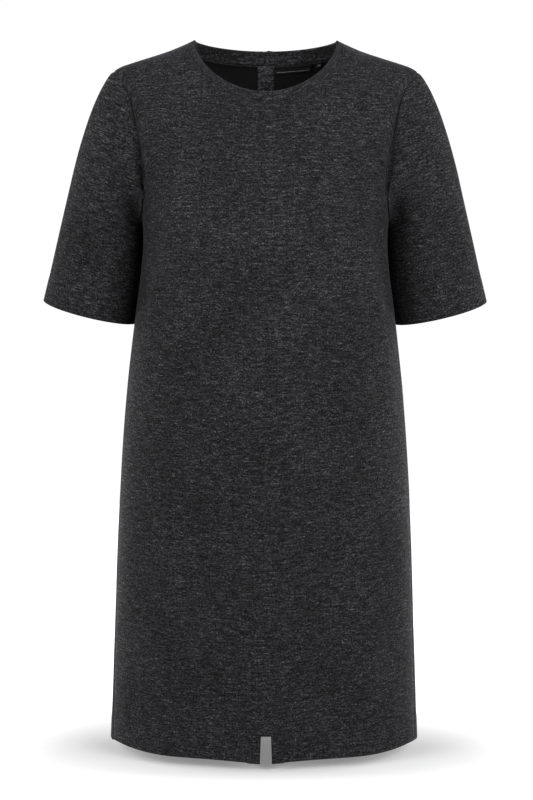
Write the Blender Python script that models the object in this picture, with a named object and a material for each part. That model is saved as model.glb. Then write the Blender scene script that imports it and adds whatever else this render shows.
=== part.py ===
"""Short-sleeved jumper dress in heather cloth, filled out as worn, with nobody in it.

The front faces -Y, the wearer's left is at +X and +Z is up. The origin is midway between
the two high points of the shoulders, where the wearer's shoulders carry the dress. Sizes
are in millimetres up to the meshes, which are in metres. Angles called turn run round the
body in degrees, from 0 at the centre front through 90 at the side to 180 at the back.
"""

import math

import bpy
import numpy as np

METRE = 1000.0

# Cloth
CLOTH = 1.8
BAND = 2.6
LINING = 1.0
TAPE = 1.2
LABEL = 1.0
GAP = 0.3
BAND_GAP = 0.6
FOLD = 0.2

# The body, as level sections: height, half width, front depth, back depth and squareness,
# which is 2 for an ellipse and more for a fuller corner.
BODY = (
    (20.0, 204.0, 66.0, 62.0, 2.3),
    (-38.0, 203.0, 71.0, 76.0, 2.3),
    (-60.0, 192.0, 74.5, 83.5, 2.3),
    (-100.0, 178.0, 86.5, 94.5, 2.32),
    (-150.0, 165.5, 104.0, 104.0, 2.34),
    (-180.0, 159.5, 113.0, 107.0, 2.34),
    (-218.0, 153.5, 122.5, 108.5, 2.32),
    (-245.0, 151.8, 127.5, 108.5, 2.3),
    (-280.0, 154.0, 131.0, 108.0, 2.26),
    (-342.0, 162.0, 132.5, 106.5, 2.2),
    (-434.0, 172.4, 131.0, 105.5, 2.15),
    (-585.0, 182.6, 129.5, 107.0, 2.08),
    (-737.0, 188.8, 129.0, 110.0, 2.0),
    (-880.0, 194.0, 129.0, 113.0, 1.95),
)

# The shoulder line, seen from the front: distance from the centre and height.
SHOULDER = (
    (0.0, 15.0),
    (60.0, 8.0),
    (98.0, -4.5),
    (120.0, -13.2),
    (144.0, -21.0),
    (167.0, -28.2),
    (180.0, -32.8),
    (189.0, -38.0),
)
NECK_CORNER = 98.0
SHOULDER_POINT = 189.0

# How far below the shoulder line the body reaches its full depth, at the neck corner and
# at the shoulder point, for the front and the back
FRONT_ROUNDING = (110.0, 70.0)
BACK_ROUNDING = (60.0, 52.0)

# The neckband's seam on the body: half width, its drop below the neck corner at the front
# and back, and the powers that shape the two curves. Then the same for the band's edge.
SEAM_DROP_FRONT = 75.5
SEAM_POWER_FRONT = 1.4
SEAM_DROP_BACK = 20.5
SEAM_POWER_BACK = 0.9
EDGE_HALF_WIDTH = 88.5
EDGE_FRONT = 73.0
EDGE_BACK = 64.0
EDGE_DROP_FRONT = 65.5
EDGE_POWER_FRONT = 1.25
EDGE_DROP_BACK = 7.6
EDGE_POWER_BACK = 1.8
BAND_ROLL = 0.9

# The armhole: height, and how far round its front and back halves lie, counted from the
# centre front and from the centre back.
ARMHOLE = (
    (-38.0, 67.1, 67.1),
    (-61.5, 61.7, 64.0),
    (-80.0, 61.4, 63.2),
    (-100.0, 62.4, 63.8),
    (-125.0, 64.4, 65.4),
    (-154.0, 66.8, 67.6),
    (-180.0, 69.6, 71.0),
    (-198.0, 72.6, 75.5),
    (-209.0, 78.0, 82.0),
    (-215.0, 83.8, 88.0),
    (-218.0, 88.8, 91.2),
)
UNDERARM = -218.0

# How far round the columns of a panel fan out, for the front and the back, but for the
# outer ones, which bend to its edge, the more the higher the power.
FAN = (
    (-38.0, 67.1, 67.1),
    (-110.0, 68.0, 68.6),
    (-218.0, 74.0, 76.0),
    (-342.0, 80.0, 86.0),
    (-585.0, 82.0, 92.0),
    (-880.0, 81.0, 94.0),
)
EDGE_POWER = 5
SEAM_FORWARD_TOP = 3.0
SEAM_FORWARD_HEM = 27.0

# Soft flutes of the skirt: turn, how far it stands out at the hem, and its spread.
FLUTES = (
    (0.0, 2.6, 9.0),
    (24.0, -2.2, 10.0),
    (43.0, 5.0, 12.0),
    (122.0, -2.0, 10.0),
    (150.0, 2.0, 11.0),
    (180.0, -1.6, 9.0),
)
FLUTES_START = -260.0

# Hem and the square notch at its centre front
HEM = -874.5
HEM_DIP_FRONT = 2.4
HEM_DIP_NOTCH = 2.2
HEM_RISE_SIDE = 2.5
HEM_RISE_TURN = 72.0
HEM_RISE_SPREAD = 14.0
NOTCH_CENTRE = 2.5
NOTCH_TOP = -846.0
NOTCH_HALF_TOP = 6.2
NOTCH_HALF_HEM = 7.3
FACING = 15.5
FACING_TOP = -832.0

# Rows of each panel: shares of the way from its top down to FIRST_LEVEL, then heights.
FIRST_LEVEL = -150.0
TOP_ROWS = 6
LEVELS = (-168.0, -184.0, -198.0, -208.0, -214.5, UNDERARM)
SKIRT_LEVELS = (-229.0, -247.0, -275.0, -320.0, -382.0, -465.0, -565.0, -670.0, -765.0)
LINING_ROWS = 9

# Columns of each panel between the named ones
NECK_COLUMNS_FRONT = 7
NECK_COLUMNS_BACK = 8
SHOULDER_COLUMNS = 6
TAPE_HALF = 10.5

# Sleeve: a slanted ring below the armhole, and the cuff ring, each with its outer end, its
# inner end beside the body, and its half depth; between them the inside bows to the body.
RING_OUTER = (241.2, 8.0, -168.0)
RING_INNER = (151.9, 18.0, -237.0)
RING_HALF_DEPTH = 53.0
CUFF_OUTER = (279.0, 24.0, -322.8)
CUFF_INNER = (161.8, 24.0, -351.0)
CUFF_HALF_DEPTH = 54.5
CUFF_FRONT_DROP = 6.0
INNER_BOW = 2.4
CAP_SLOPE = 45.0
UNDERARM_SLOPE = 82.0
CAP_FULLNESS = 0.25
CAP_START = 0.21
CAP_END = 0.36
CAP_STEPS = (0.0, 0.12, 0.3, 0.55, 0.8)
SLEEVE_ROWS = 3

# Labels inside the back neck, as columns and rows of the back panel
LABEL_COLUMNS = (1, 2, 3, 4)
LABEL_ROWS = (0, 1, 2)
TAB_COLUMNS = (4.45, 5)
TAB_ROWS = (0, 1, 1.5)

CHARCOAL = (0.030, 0.030, 0.033)
CHARCOAL_BAND = (0.028, 0.028, 0.031)
BLACK = (0.007, 0.007, 0.008)
LABEL_GREY = (0.012, 0.012, 0.013)


def curve(table, at):
    """The other columns of a table at a value of its first, on a smooth curve through it."""
    rows = np.array(table)
    if rows[0, 0] > rows[-1, 0]:
        rows = rows[::-1]
    at = min(max(at, rows[0, 0]), rows[-1, 0])
    steps = np.diff(rows[:, 0])
    slopes = np.diff(rows[:, 1:], axis=0) / steps[:, None]
    weights = steps[:-1, None] + steps[1:, None]
    inner = (slopes[:-1] * steps[1:, None] + slopes[1:] * steps[:-1, None]) / weights
    tangents = np.vstack([slopes[:1], inner, slopes[-1:]])
    i = min(int(np.searchsorted(rows[:, 0], at, side="right")) - 1, len(steps) - 1)
    t = (at - rows[i, 0]) / steps[i]
    start = (1 + 2 * t) * (1 - t) ** 2 * rows[i, 1:]
    end = t * t * (3 - 2 * t) * rows[i + 1, 1:]
    bend = t * (1 - t) ** 2 * tangents[i] - t * t * (1 - t) * tangents[i + 1]
    return start + end + bend * steps[i]


def shoulder_height(x):
    return float(curve(SHOULDER, abs(x))[0])


def turn_at(x, z):
    """How far round from the centre the body reaches a distance to the side."""
    half_width, _, _, squareness = curve(BODY, z)
    return math.degrees(math.asin(min((x / half_width) ** (squareness / 2), 1.0)))


def flutes(turn, z):
    """How far the skirt's soft folds stand out at a place."""
    fall = min(max((FLUTES_START - z) / (FLUTES_START - HEM), 0.0), 1.0)
    stands = sum(
        height * math.exp(-(((abs(turn) - middle) / spread) ** 2))
        for middle, height, spread in FLUTES
    )
    return stands * fall * fall * (3 - 2 * fall)


def body_point(turn, z):
    """A point on the outside of the body."""
    half_width, front, back, squareness = curve(BODY, z)
    facing = abs(turn) <= 90
    power = 2 / squareness
    side = abs(math.sin(math.radians(turn))) ** power
    out = abs(math.cos(math.radians(turn))) ** power
    depth = (front if facing else back) + flutes(turn, z)
    x = half_width * side
    at_neck, at_point = FRONT_ROUNDING if facing else BACK_ROUNDING
    along = min(max((x - NECK_CORNER) / (SHOULDER_POINT - NECK_CORNER), 0.0), 1.0)
    below = (shoulder_height(x) - z) / (at_neck + (at_point - at_neck) * along)
    below = min(max(below, 0.0), 1.0) if below > 1e-6 else 0.0
    reach = depth * out * math.sqrt(1 - (1 - below) ** 2)
    return np.array([math.copysign(x, turn), -reach if facing else reach, z])


def edge_turn(z, back):
    """How far round a panel reaches: to the armhole, and below it to the side seam."""
    if z >= SHOULDER[-1][1]:
        return turn_at(SHOULDER_POINT, z)
    if z >= UNDERARM:
        return float(curve(ARMHOLE, z)[1 if back else 0])
    _, front, _, squareness = curve(BODY, z)
    share = (UNDERARM - z) / (UNDERARM - HEM)
    forward = SEAM_FORWARD_TOP + (SEAM_FORWARD_HEM - SEAM_FORWARD_TOP) * share
    turn = math.degrees(math.acos((forward / front) ** (squareness / 2)))
    return 180 - turn if back else turn


def fan_turn(z, back):
    """How far round the columns of a panel would reach if none bent to its edge."""
    if z >= SHOULDER[-1][1]:
        return turn_at(SHOULDER_POINT, z)
    return float(curve(FAN, z)[1 if back else 0])


def neck_seam_height(x, back):
    swing = math.sqrt(max(1 - (x / NECK_CORNER) ** 2, 0.0))
    if back:
        return SHOULDER[2][1] - SEAM_DROP_BACK * swing**SEAM_POWER_BACK
    return SHOULDER[2][1] - SEAM_DROP_FRONT * swing**SEAM_POWER_FRONT


def neck_edge(x, back):
    """The band's edge, opposite the point of its seam that lies x from the centre."""
    side = x / NECK_CORNER
    swing = math.sqrt(max(1 - side * side, 0.0))
    if back:
        height = -EDGE_DROP_BACK * swing**EDGE_POWER_BACK
        return np.array([EDGE_HALF_WIDTH * side, EDGE_BACK * swing, height])
    height = -EDGE_DROP_FRONT * swing**EDGE_POWER_FRONT
    return np.array([EDGE_HALF_WIDTH * side, -EDGE_FRONT * swing, height])


def hem_height(turn):
    """The hem rises a little to the side seams, and dips at the front, by the notch most."""
    rise = math.exp(-(((abs(turn) - HEM_RISE_TURN) / HEM_RISE_SPREAD) ** 2))
    level = HEM + HEM_RISE_SIDE * rise
    if abs(turn) > 90:
        return level
    swing = math.cos(math.radians(turn))
    return level - HEM_DIP_FRONT * swing**2 - HEM_DIP_NOTCH * swing**60


def notch_half(z):
    share = min(max((NOTCH_TOP - z) / (NOTCH_TOP - HEM), 0.0), 1.0)
    return NOTCH_HALF_TOP + (NOTCH_HALF_HEM - NOTCH_HALF_TOP) * share


class Column:
    """One column of a panel: straight, a fixed distance from the centre, or fanned."""

    def __init__(self, x_top, back, straight=None):
        self.back = back
        self.sign = -1 if x_top < 0 else 1
        self.straight = straight
        across = abs(x_top)
        if across <= NECK_CORNER:
            self.top = neck_seam_height(across, back)
        else:
            self.top = shoulder_height(across)
        self.share = turn_at(across, self.top) / fan_turn(self.top, back)

    def turn(self, z):
        if self.straight is None:
            fanned = fan_turn(z, self.back)
            bent = self.share**EDGE_POWER * (edge_turn(z, self.back) - fanned)
            turn = self.share * fanned + bent
        else:
            turn = turn_at(self.straight(z), z)
        return self.sign * (180 - turn if self.back else turn)

    def heights(self):
        shares = [(row / TOP_ROWS) ** 2 for row in range(TOP_ROWS + 1)]
        top = [self.top + (FIRST_LEVEL - self.top) * share for share in shares]
        return [*top, *LEVELS, *SKIRT_LEVELS, FACING_TOP, NOTCH_TOP]

    def points(self):
        heights = self.heights()
        hem = hem_height(self.turn(HEM))
        return [body_point(self.turn(z), z) for z in [*heights, hem]]


def fan(start, count, back):
    """Columns from one that starts at x on the neck seam, out to the shoulder point."""
    swing = math.asin(start / NECK_CORNER)
    steps = [swing + (math.pi / 2 - swing) * i / count for i in range(1, count)]
    tops = [NECK_CORNER * math.sin(step) for step in steps]
    shoulder = (SHOULDER_POINT - NECK_CORNER) / SHOULDER_COLUMNS
    tops += [NECK_CORNER + shoulder * i for i in range(SHOULDER_COLUMNS + 1)]
    return [Column(top, back) for top in tops]


def mirrored(grid):
    """The same panel on the other side of the body."""
    return grid[:, ::-1] * np.array([-1.0, 1.0, 1.0])


def grid_of(columns):
    return np.array([column.points() for column in columns]).transpose(1, 0, 2)


def front_grid():
    """The front's points, and the number of the column at the notch's left side."""
    def side(way, width):
        return lambda z: abs(NOTCH_CENTRE + way * (notch_half(z) + width))

    def straight(way, width):
        x = NOTCH_CENTRE + way * (NOTCH_HALF_TOP + width)
        return Column(x, False, side(way, width))

    left = [straight(-1, FACING), straight(-1, 0)]
    right = [straight(1, 0), straight(1, FACING)]
    outer = NOTCH_HALF_TOP + FACING + NOTCH_CENTRE
    fanned = fan(outer, NECK_COLUMNS_FRONT, False)
    half = grid_of(fanned)
    middle = grid_of(left + right)
    return np.hstack([mirrored(half), middle, half]), len(fanned) + 1


def back_grid():
    """The back's wearer's-left half, from the side to the centre back."""
    centre = Column(0.0, True)
    tape = Column(TAPE_HALF, True, lambda z: TAPE_HALF)
    columns = [centre, tape, *fan(TAPE_HALF, NECK_COLUMNS_BACK, True)]
    return grid_of(columns)[:, ::-1]


def band_grid(seam, back):
    """The neckband on the top row of a panel, from its edge down to its seam."""
    edge = []
    for point in seam:
        place = neck_edge(abs(point[0]), back)
        place[0] = math.copysign(place[0], point[0])
        edge.append(place)
    edge = np.array(edge)
    middle = (edge + seam) / 2
    outward = middle * np.array([1.0, 1.0, 0.0])
    outward /= np.linalg.norm(outward, axis=1)[:, None]
    outward[:, 2] = 0.6
    return np.array([edge, middle + outward * BAND_ROLL, seam])


def ring(outer, inner, half_depth, drop, turns):
    """A slanted oval: its points at turns from the outer end, round by the back."""
    outer = np.array(outer)
    inner = np.array(inner)
    across = (outer - inner) / 2
    behind = np.array([0.0, half_depth, drop])
    along = np.cos(turns)[:, None] * across
    return (outer + inner) / 2 + along + np.sin(turns)[:, None] * behind


def sleeve_grid(front_edge, back_edge):
    """The wearer's-left sleeve, on the points of its armhole, down to the cuff."""
    loop = np.vstack([back_edge, front_edge[-2:0:-1]])
    half = len(back_edge) - 1
    lengths = np.linalg.norm(np.roll(loop, -1, axis=0) - loop, axis=1)
    way = np.concatenate([[0], np.cumsum(lengths)[:-1]])
    total = lengths.sum()
    middle = way[half]
    share = np.where(way <= middle, way / middle, (total - way) / (total - middle))
    turns = np.where(way <= middle, math.pi * share, math.pi * (2 - share))
    upper = ring(RING_OUTER, RING_INNER, RING_HALF_DEPTH, 0.0, turns)
    cuff = ring(CUFF_OUTER, CUFF_INNER, CUFF_HALF_DEPTH, CUFF_FRONT_DROP, turns)
    slope = np.radians(CAP_SLOPE + (UNDERARM_SLOPE - CAP_SLOPE) * share**2)
    fullness = CAP_FULLNESS * np.sin(turns)
    leave = np.stack([np.cos(slope), fullness, -np.sin(slope)], axis=1)
    leave /= np.linalg.norm(leave, axis=1)[:, None]
    arrive = (cuff - upper) / np.linalg.norm(cuff - upper, axis=1)[:, None]
    chord = np.linalg.norm(upper - loop, axis=1)[:, None]
    first = loop + leave * chord * CAP_START
    second = upper - arrive * chord * CAP_END
    rows = []
    for t in CAP_STEPS:
        near = loop * (1 - t) ** 3 + first * 3 * t * (1 - t) ** 2
        rows.append(near + second * 3 * t * t * (1 - t) + upper * t**3)
    bow = np.zeros_like(loop)
    bow[:, 0] = -INNER_BOW * ((1 - np.cos(turns)) / 2) ** 3
    for i in range(SLEEVE_ROWS + 1):
        t = i / SLEEVE_ROWS
        rows.append(upper + (cuff - upper) * t + bow * math.sin(math.pi * t) ** 2)
    return np.array(rows)


class Sheet:
    """A panel of cloth: a grid of points on its outside, rows going down."""

    def __init__(self, grid, wall, closed=False):
        self.grid = grid
        self.wall = wall
        self.gap = BAND_GAP if wall == BAND else GAP
        wide = grid.shape[1] if closed else grid.shape[1] - 1
        self.cells = np.ones((grid.shape[0] - 1, wide), bool)
        down = np.gradient(grid, axis=0)
        if closed:
            along = np.roll(grid, -1, axis=1) - np.roll(grid, 1, axis=1)
        else:
            along = np.gradient(grid, axis=1)
        normal = np.cross(down, along)
        self.normal = normal / np.linalg.norm(normal, axis=2)[:, :, None]
        self.inward = -self.normal
        self.folded = np.zeros(grid.shape[:2], bool)

    def quads(self):
        """The corners of each cell, going round it as seen from outside."""
        wide = self.grid.shape[1]
        for row, column in np.argwhere(self.cells):
            after = (column + 1) % wide
            yield (row, column), (row + 1, column), (row + 1, after), (row, after)

    def border(self):
        """The border's edges, as pairs of corners."""
        edges = set()
        for corners in self.quads():
            for i in range(4):
                edge = (corners[i], corners[(i + 1) % 4])
                if edge[::-1] in edges:
                    edges.remove(edge[::-1])
                else:
                    edges.add(edge)
        return sorted(edges)

    def drawn_in(self, points):
        """The points with the border drawn in by half a seam gap."""
        ways = {}
        for a, b in self.border():
            edge = points[b] - points[a]
            for corner in (a, b):
                way = np.cross(self.normal[corner], edge)
                ways.setdefault(corner, []).append(way / np.linalg.norm(way))
        drawn = points.copy()
        for corner, (one, two) in ways.items():
            move = (one + two) / max(1 + one @ two, 0.3)
            if self.folded[corner]:
                move = move - self.normal[corner]
            drawn[corner] = drawn[corner] + move * self.gap / 2
        return drawn

    def mesh(self, name, depth=0.0):
        """The closed wall, with its outside this deep inside the grid."""
        outside = self.drawn_in(self.grid + self.inward * depth)
        inside = self.drawn_in(self.grid + self.inward * (depth + self.wall))
        used = sorted({corner for corners in self.quads() for corner in corners})
        number = {corner: i for i, corner in enumerate(used)}
        count = len(used)
        faces = []
        for corners in self.quads():
            one, two, three, four = (number[corner] for corner in corners)
            for face in ((one, two, three), (one, three, four)):
                faces.append(face)
                faces.append([i + count for i in reversed(face)])
        for a, b in self.border():
            faces.append([number[b], number[a], number[a] + count, number[b] + count])
        points = [outside[corner] for corner in used] + [inside[corner] for corner in used]
        mesh = bpy.data.meshes.new(name)
        mesh.from_pydata((np.array(points) / METRE).tolist(), [], faces)
        mesh.validate()
        mesh.shade_smooth()
        mesh.set_sharp_from_angle(angle=math.radians(40))
        return mesh


def sew(sheets):
    """Gives sheets that meet at a seam one way inward there, so that their walls mitre.

    Where two of them fold back on each other, as under the arm, they keep their own way
    and are drawn a little apart.
    """
    meetings = {}
    for sheet in sheets:
        for place in np.ndindex(sheet.grid.shape[:2]):
            key = tuple(np.round(sheet.grid[place], 2) + 0.0)
            meetings.setdefault(key, []).append((sheet, place))
    for meeting in meetings.values():
        for sheet, place in meeting:
            normals = [other.normal[spot] for other, spot in meeting]
            mates = [n for n in normals if n @ sheet.normal[place] > FOLD]
            shared = sum(mates) / np.linalg.norm(sum(mates))
            sheet.inward[place] = -shared / min(n @ shared for n in mates)
            sheet.folded[place] = len(mates) < len(meeting)


def patch(sheet, rows, columns, wall):
    """A smaller sheet on the points of another, or between them where rows aren't whole."""
    def between(values):
        picked = []
        for row in rows:
            for column in columns:
                r, c = min(int(row), len(values) - 2), min(int(column), values.shape[1] - 2)
                u, v = row - r, column - c
                upper = values[r, c] * (1 - v) + values[r, c + 1] * v
                lower = values[r + 1, c] * (1 - v) + values[r + 1, c + 1] * v
                picked.append(upper * (1 - u) + lower * u)
        return np.array(picked).reshape(len(rows), len(columns), 3)

    small = Sheet(between(sheet.grid), wall)
    small.inward = between(sheet.inward)
    small.normal = between(sheet.normal)
    return small


def material(name, colour, roughness):
    made = bpy.data.materials.new(name)
    made.use_nodes = True
    shader = made.node_tree.nodes["Principled BSDF"]
    shader.inputs["Base Color"].default_value = (*colour, 1.0)
    shader.inputs["Roughness"].default_value = roughness
    shader.inputs["Metallic"].default_value = 0.0
    return made


def place(name, mesh, colour, roughness):
    mesh.materials.append(material(name + "_cloth", colour, roughness))
    bpy.context.scene.collection.objects.link(bpy.data.objects.new(name, mesh))


def make_dress():
    grid, notch = front_grid()
    front = Sheet(grid, CLOTH)
    front.cells[-1, notch] = False
    half = back_grid()
    back_left = Sheet(half, CLOTH)
    back_right = Sheet(mirrored(half), CLOTH)

    armhole = TOP_ROWS + len(LEVELS) + 1
    sleeve = sleeve_grid(grid[:armhole, -1], half[:armhole, 0])
    sleeve_left = Sheet(sleeve, CLOTH, closed=True)
    sleeve_right = Sheet(mirrored(sleeve), CLOTH, closed=True)

    seam = grid[0, SHOULDER_COLUMNS:-SHOULDER_COLUMNS]
    band_front = Sheet(band_grid(seam, False), BAND)
    seam = half[0, SHOULDER_COLUMNS:]
    band = band_grid(seam, True)
    band_left = Sheet(band, BAND)
    band_right = Sheet(mirrored(band), BAND)

    panels = [front, back_left, back_right, sleeve_left, sleeve_right]
    sew([*panels, band_front, band_left, band_right])

    cloth = {
        "front": front,
        "back_left": back_left,
        "back_right": back_right,
        "sleeve_left": sleeve_left,
        "sleeve_right": sleeve_right,
    }
    for name, sheet in cloth.items():
        place(name, sheet.mesh(name), CHARCOAL, 0.95)
    bands = {
        "neckband_front": band_front,
        "neckband_back_left": band_left,
        "neckband_back_right": band_right,
    }
    for name, sheet in bands.items():
        place(name, sheet.mesh(name), CHARCOAL_BAND, 0.95)
    make_inside(back_left, back_right)
    make_facings(front, notch)


def make_inside(back_left, back_right):
    """What shows inside the back neck: lining, centre-back strip, label and size tab."""
    last = back_left.grid.shape[1] - 1
    rows = range(LINING_ROWS)
    behind = CLOTH + GAP
    left = patch(back_left, rows, range(1, last), LINING)
    place("back_lining_left", left.mesh("back_lining_left", behind), BLACK, 0.7)
    right = patch(back_right, rows, range(1, last), LINING)
    place("back_lining_right", right.mesh("back_lining_right", behind), BLACK, 0.7)

    halves = [patch(back_left, rows, (last - 1, last), TAPE)]
    halves.append(patch(back_right, rows, (0, 1), TAPE))
    strip = Sheet(np.hstack([halves[0].grid, halves[1].grid[:, 1:]]), TAPE)
    strip.inward = np.hstack([halves[0].inward, halves[1].inward[:, 1:]])
    strip.normal = np.hstack([halves[0].normal, halves[1].normal[:, 1:]])
    place("back_seam_strip", strip.mesh("back_seam_strip", behind), CHARCOAL, 0.95)

    behind += LINING + GAP
    columns = sorted(last - column for column in LABEL_COLUMNS)
    label = patch(back_left, LABEL_ROWS, columns, LABEL)
    place("neck_label", label.mesh("neck_label", behind), LABEL_GREY, 0.6)
    columns = sorted(last - column for column in TAB_COLUMNS)
    tab = patch(back_left, TAB_ROWS, columns, LABEL)
    place("size_tab", tab.mesh("size_tab", behind), LABEL_GREY, 0.6)


def make_facings(front, notch):
    """The cloth turned in behind the front beside the notch."""
    last = front.grid.shape[0] - 1
    rows = (last - 2, last - 1, last)
    sides = {"notch_facing_right": (notch - 1, notch), "notch_facing_left": (notch + 1, notch + 2)}
    for name, columns in sides.items():
        facing = patch(front, rows, columns, TAPE)
        place(name, facing.mesh(name, CLOTH + GAP), CHARCOAL, 0.95)


def main():
    for thing in list(bpy.data.objects):
        bpy.data.objects.remove(thing, do_unlink=True)
    make_dress()


main()
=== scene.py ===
"""Looks of a short-sleeved jumper dress in charcoal heather cloth, filled out as worn.

Each panel is a thin shell of cloth on its solid's form, with rolled edges, seams that sink
in, a few soft folds and a knitted heather finish. The front faces -Y, the wearer's left is
at +X and +Z is up. The shape is worked out in millimetres, and meshes are in metres. Angles
called turn run round the body in degrees, from 0 at the centre front to 180 at the back.
"""

import math

import bpy
import numpy as np
from bpy.props import FloatProperty, FloatVectorProperty, PointerProperty
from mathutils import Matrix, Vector, noise


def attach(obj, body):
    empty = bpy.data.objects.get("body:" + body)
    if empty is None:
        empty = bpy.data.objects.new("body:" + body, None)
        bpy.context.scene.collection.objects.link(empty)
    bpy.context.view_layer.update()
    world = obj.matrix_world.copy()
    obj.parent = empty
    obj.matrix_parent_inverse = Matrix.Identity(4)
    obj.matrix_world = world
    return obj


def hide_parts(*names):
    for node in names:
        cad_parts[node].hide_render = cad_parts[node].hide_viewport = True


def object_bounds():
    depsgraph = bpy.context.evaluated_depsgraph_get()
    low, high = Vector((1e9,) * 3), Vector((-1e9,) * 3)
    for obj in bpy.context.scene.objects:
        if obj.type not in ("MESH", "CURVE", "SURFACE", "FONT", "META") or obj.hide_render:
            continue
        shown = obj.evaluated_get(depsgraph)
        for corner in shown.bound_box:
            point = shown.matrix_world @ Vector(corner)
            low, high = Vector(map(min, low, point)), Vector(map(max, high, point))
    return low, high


bl_info = {
    "name": "Jumper Dress",
    "version": (1, 0, 0),
    "blender": (4, 5, 0),
    "location": "3D View > Sidebar > Dress",
    "description": "Makes the cloth, neckband, lining and labels of a heather jumper dress",
    "category": "Object",
}

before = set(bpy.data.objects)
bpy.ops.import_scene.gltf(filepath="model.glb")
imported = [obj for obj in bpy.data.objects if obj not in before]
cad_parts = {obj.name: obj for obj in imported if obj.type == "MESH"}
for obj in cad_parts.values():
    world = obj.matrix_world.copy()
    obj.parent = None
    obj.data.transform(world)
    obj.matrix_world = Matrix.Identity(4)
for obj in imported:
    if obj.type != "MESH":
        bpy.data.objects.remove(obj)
CAD_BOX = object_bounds()

# Millimetres in a metre
METRE = 1000.0

# How thick each cloth is, and the gap that the solids keep between pieces
CLOTH = 1.8
BAND = 2.6
LINING = 0.8
TAPE = 1.2
LABEL = 0.8
THREAD = 0.3
GAP = 0.3

# The body, as level sections: height, half width, front depth, back depth and squareness,
# which is 2 for an ellipse and more for a fuller corner.
BODY = (
    (20.0, 204.0, 66.0, 62.0, 2.3),
    (-38.0, 203.0, 71.0, 76.0, 2.3),
    (-60.0, 192.0, 74.5, 83.5, 2.3),
    (-100.0, 178.0, 86.5, 94.5, 2.32),
    (-150.0, 165.5, 104.0, 104.0, 2.34),
    (-180.0, 159.5, 113.0, 107.0, 2.34),
    (-218.0, 153.5, 122.5, 108.5, 2.32),
    (-245.0, 151.8, 127.5, 108.5, 2.3),
    (-280.0, 154.0, 131.0, 108.0, 2.26),
    (-342.0, 162.0, 132.5, 106.5, 2.2),
    (-434.0, 172.4, 131.0, 105.5, 2.15),
    (-585.0, 182.6, 129.5, 107.0, 2.08),
    (-737.0, 188.8, 129.0, 110.0, 2.0),
    (-880.0, 194.0, 129.0, 113.0, 1.95),
)

# The shoulder line, seen from the front: distance from the centre and height.
SHOULDER = (
    (0.0, 15.0),
    (60.0, 8.0),
    (98.0, -4.5),
    (120.0, -13.2),
    (144.0, -21.0),
    (167.0, -28.2),
    (180.0, -32.8),
    (189.0, -38.0),
)
SHOULDER_END = -38.0
NECK_CORNER = 98.0
NECK_CORNER_HEIGHT = -4.5
SHOULDER_POINT = 189.0
# How far down the shoulders round off, at the neck corner and at the shoulder's end, first
# at the front and then at the back
ROUNDING = ((110.0, 70.0), (60.0, 52.0))

# The neckband: its seam's drop and power, at the front and at the back, then its edge's half
# width, depth, drop and power, and how far its middle rolls outward and up
NECK_SEAM = ((75.5, 1.4), (20.5, 0.9))
EDGE_HALF_WIDTH = 88.5
NECK_EDGE = ((-73.0, 65.5, 1.25), (64.0, 7.6, 1.8))
BAND_ROLL = 1.2
BAND_ROLL_UP = 0.6
# One back end laps over the other at the centre back
BAND_LAP = 8.0
BAND_LAP_RISE = 1.1
# At the neck corners the seams lie flat and the band's edge comes to a point
CORNER_REACH = 7.0
CORNER_LIFT = 0.7
CORNER_PEAK = 1.5
CORNER_PEAK_POWER = 2.0

# The armhole, and how far the columns of a panel fan out: height, then how far round for
# the front, counted from the centre front, and for the back, from the centre back.
ARMHOLE = (
    (-38.0, 67.1, 67.1),
    (-61.5, 61.7, 64.0),
    (-80.0, 61.4, 63.2),
    (-100.0, 62.4, 63.8),
    (-125.0, 64.4, 65.4),
    (-154.0, 66.8, 67.6),
    (-180.0, 69.6, 71.0),
    (-198.0, 72.6, 75.5),
    (-209.0, 78.0, 82.0),
    (-215.0, 83.8, 88.0),
    (-218.0, 88.8, 91.2),
)
UNDERARM = -218.0
FAN = (
    (-38.0, 67.1, 67.1),
    (-110.0, 68.0, 68.6),
    (-218.0, 74.0, 76.0),
    (-342.0, 80.0, 86.0),
    (-585.0, 82.0, 92.0),
    (-880.0, 81.0, 94.0),
)
EDGE_POWER = 5
SEAM_FORWARD_TOP = 3.0
SEAM_FORWARD_HEM = 27.0

# Soft flutes of the skirt: turn, how far it stands out at the hem, and its spread
FLUTES = (
    (0.0, 2.6, 9.0),
    (24.0, -2.2, 10.0),
    (43.0, 5.0, 12.0),
    (122.0, -2.0, 10.0),
    (150.0, 2.0, 11.0),
    (180.0, -1.6, 9.0),
)
FLUTES_START = -260.0

# Hem and the square notch at its centre front
HEM = -874.5
HEM_DIP_FRONT = 2.4
HEM_DIP_NOTCH = 2.2
HEM_DIP_NOTCH_POWER = 60
HEM_RISE_SIDE = 2.5
HEM_RISE_TURN = 72.0
HEM_RISE_SPREAD = 14.0
NOTCH_CENTRE = 2.5
NOTCH_TOP = -846.0
NOTCH_HALF_TOP = 6.2
NOTCH_HALF_HEM = 7.3
FACING = 15.5
FACING_TOP = -832.0
FACING_SHOWS = 1.0
# The right back's hem hangs a little lower at the centre back
HEM_CORNER = 1.5
HEM_CORNER_WIDTH = 3.0
HEM_CORNER_HEIGHT = 18.0

# Sleeve: a slanted ring below the armhole, and the cuff ring; between them the inside bows
# towards the body
RING_OUTER = (241.2, 8.0, -168.0)
RING_INNER = (151.9, 18.0, -237.0)
RING_HALF_DEPTH = 53.0
CUFF_OUTER = (279.0, 24.0, -322.8)
CUFF_INNER = (161.8, 24.0, -351.0)
CUFF_HALF_DEPTH = 54.5
CUFF_FRONT_DROP = 6.0
INNER_BOW = 2.4
CAP_SLOPE = 45.0
UNDERARM_SLOPE = 82.0
CAP_FULLNESS = 0.25
CAP_START = 0.21
CAP_END = 0.36

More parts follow.
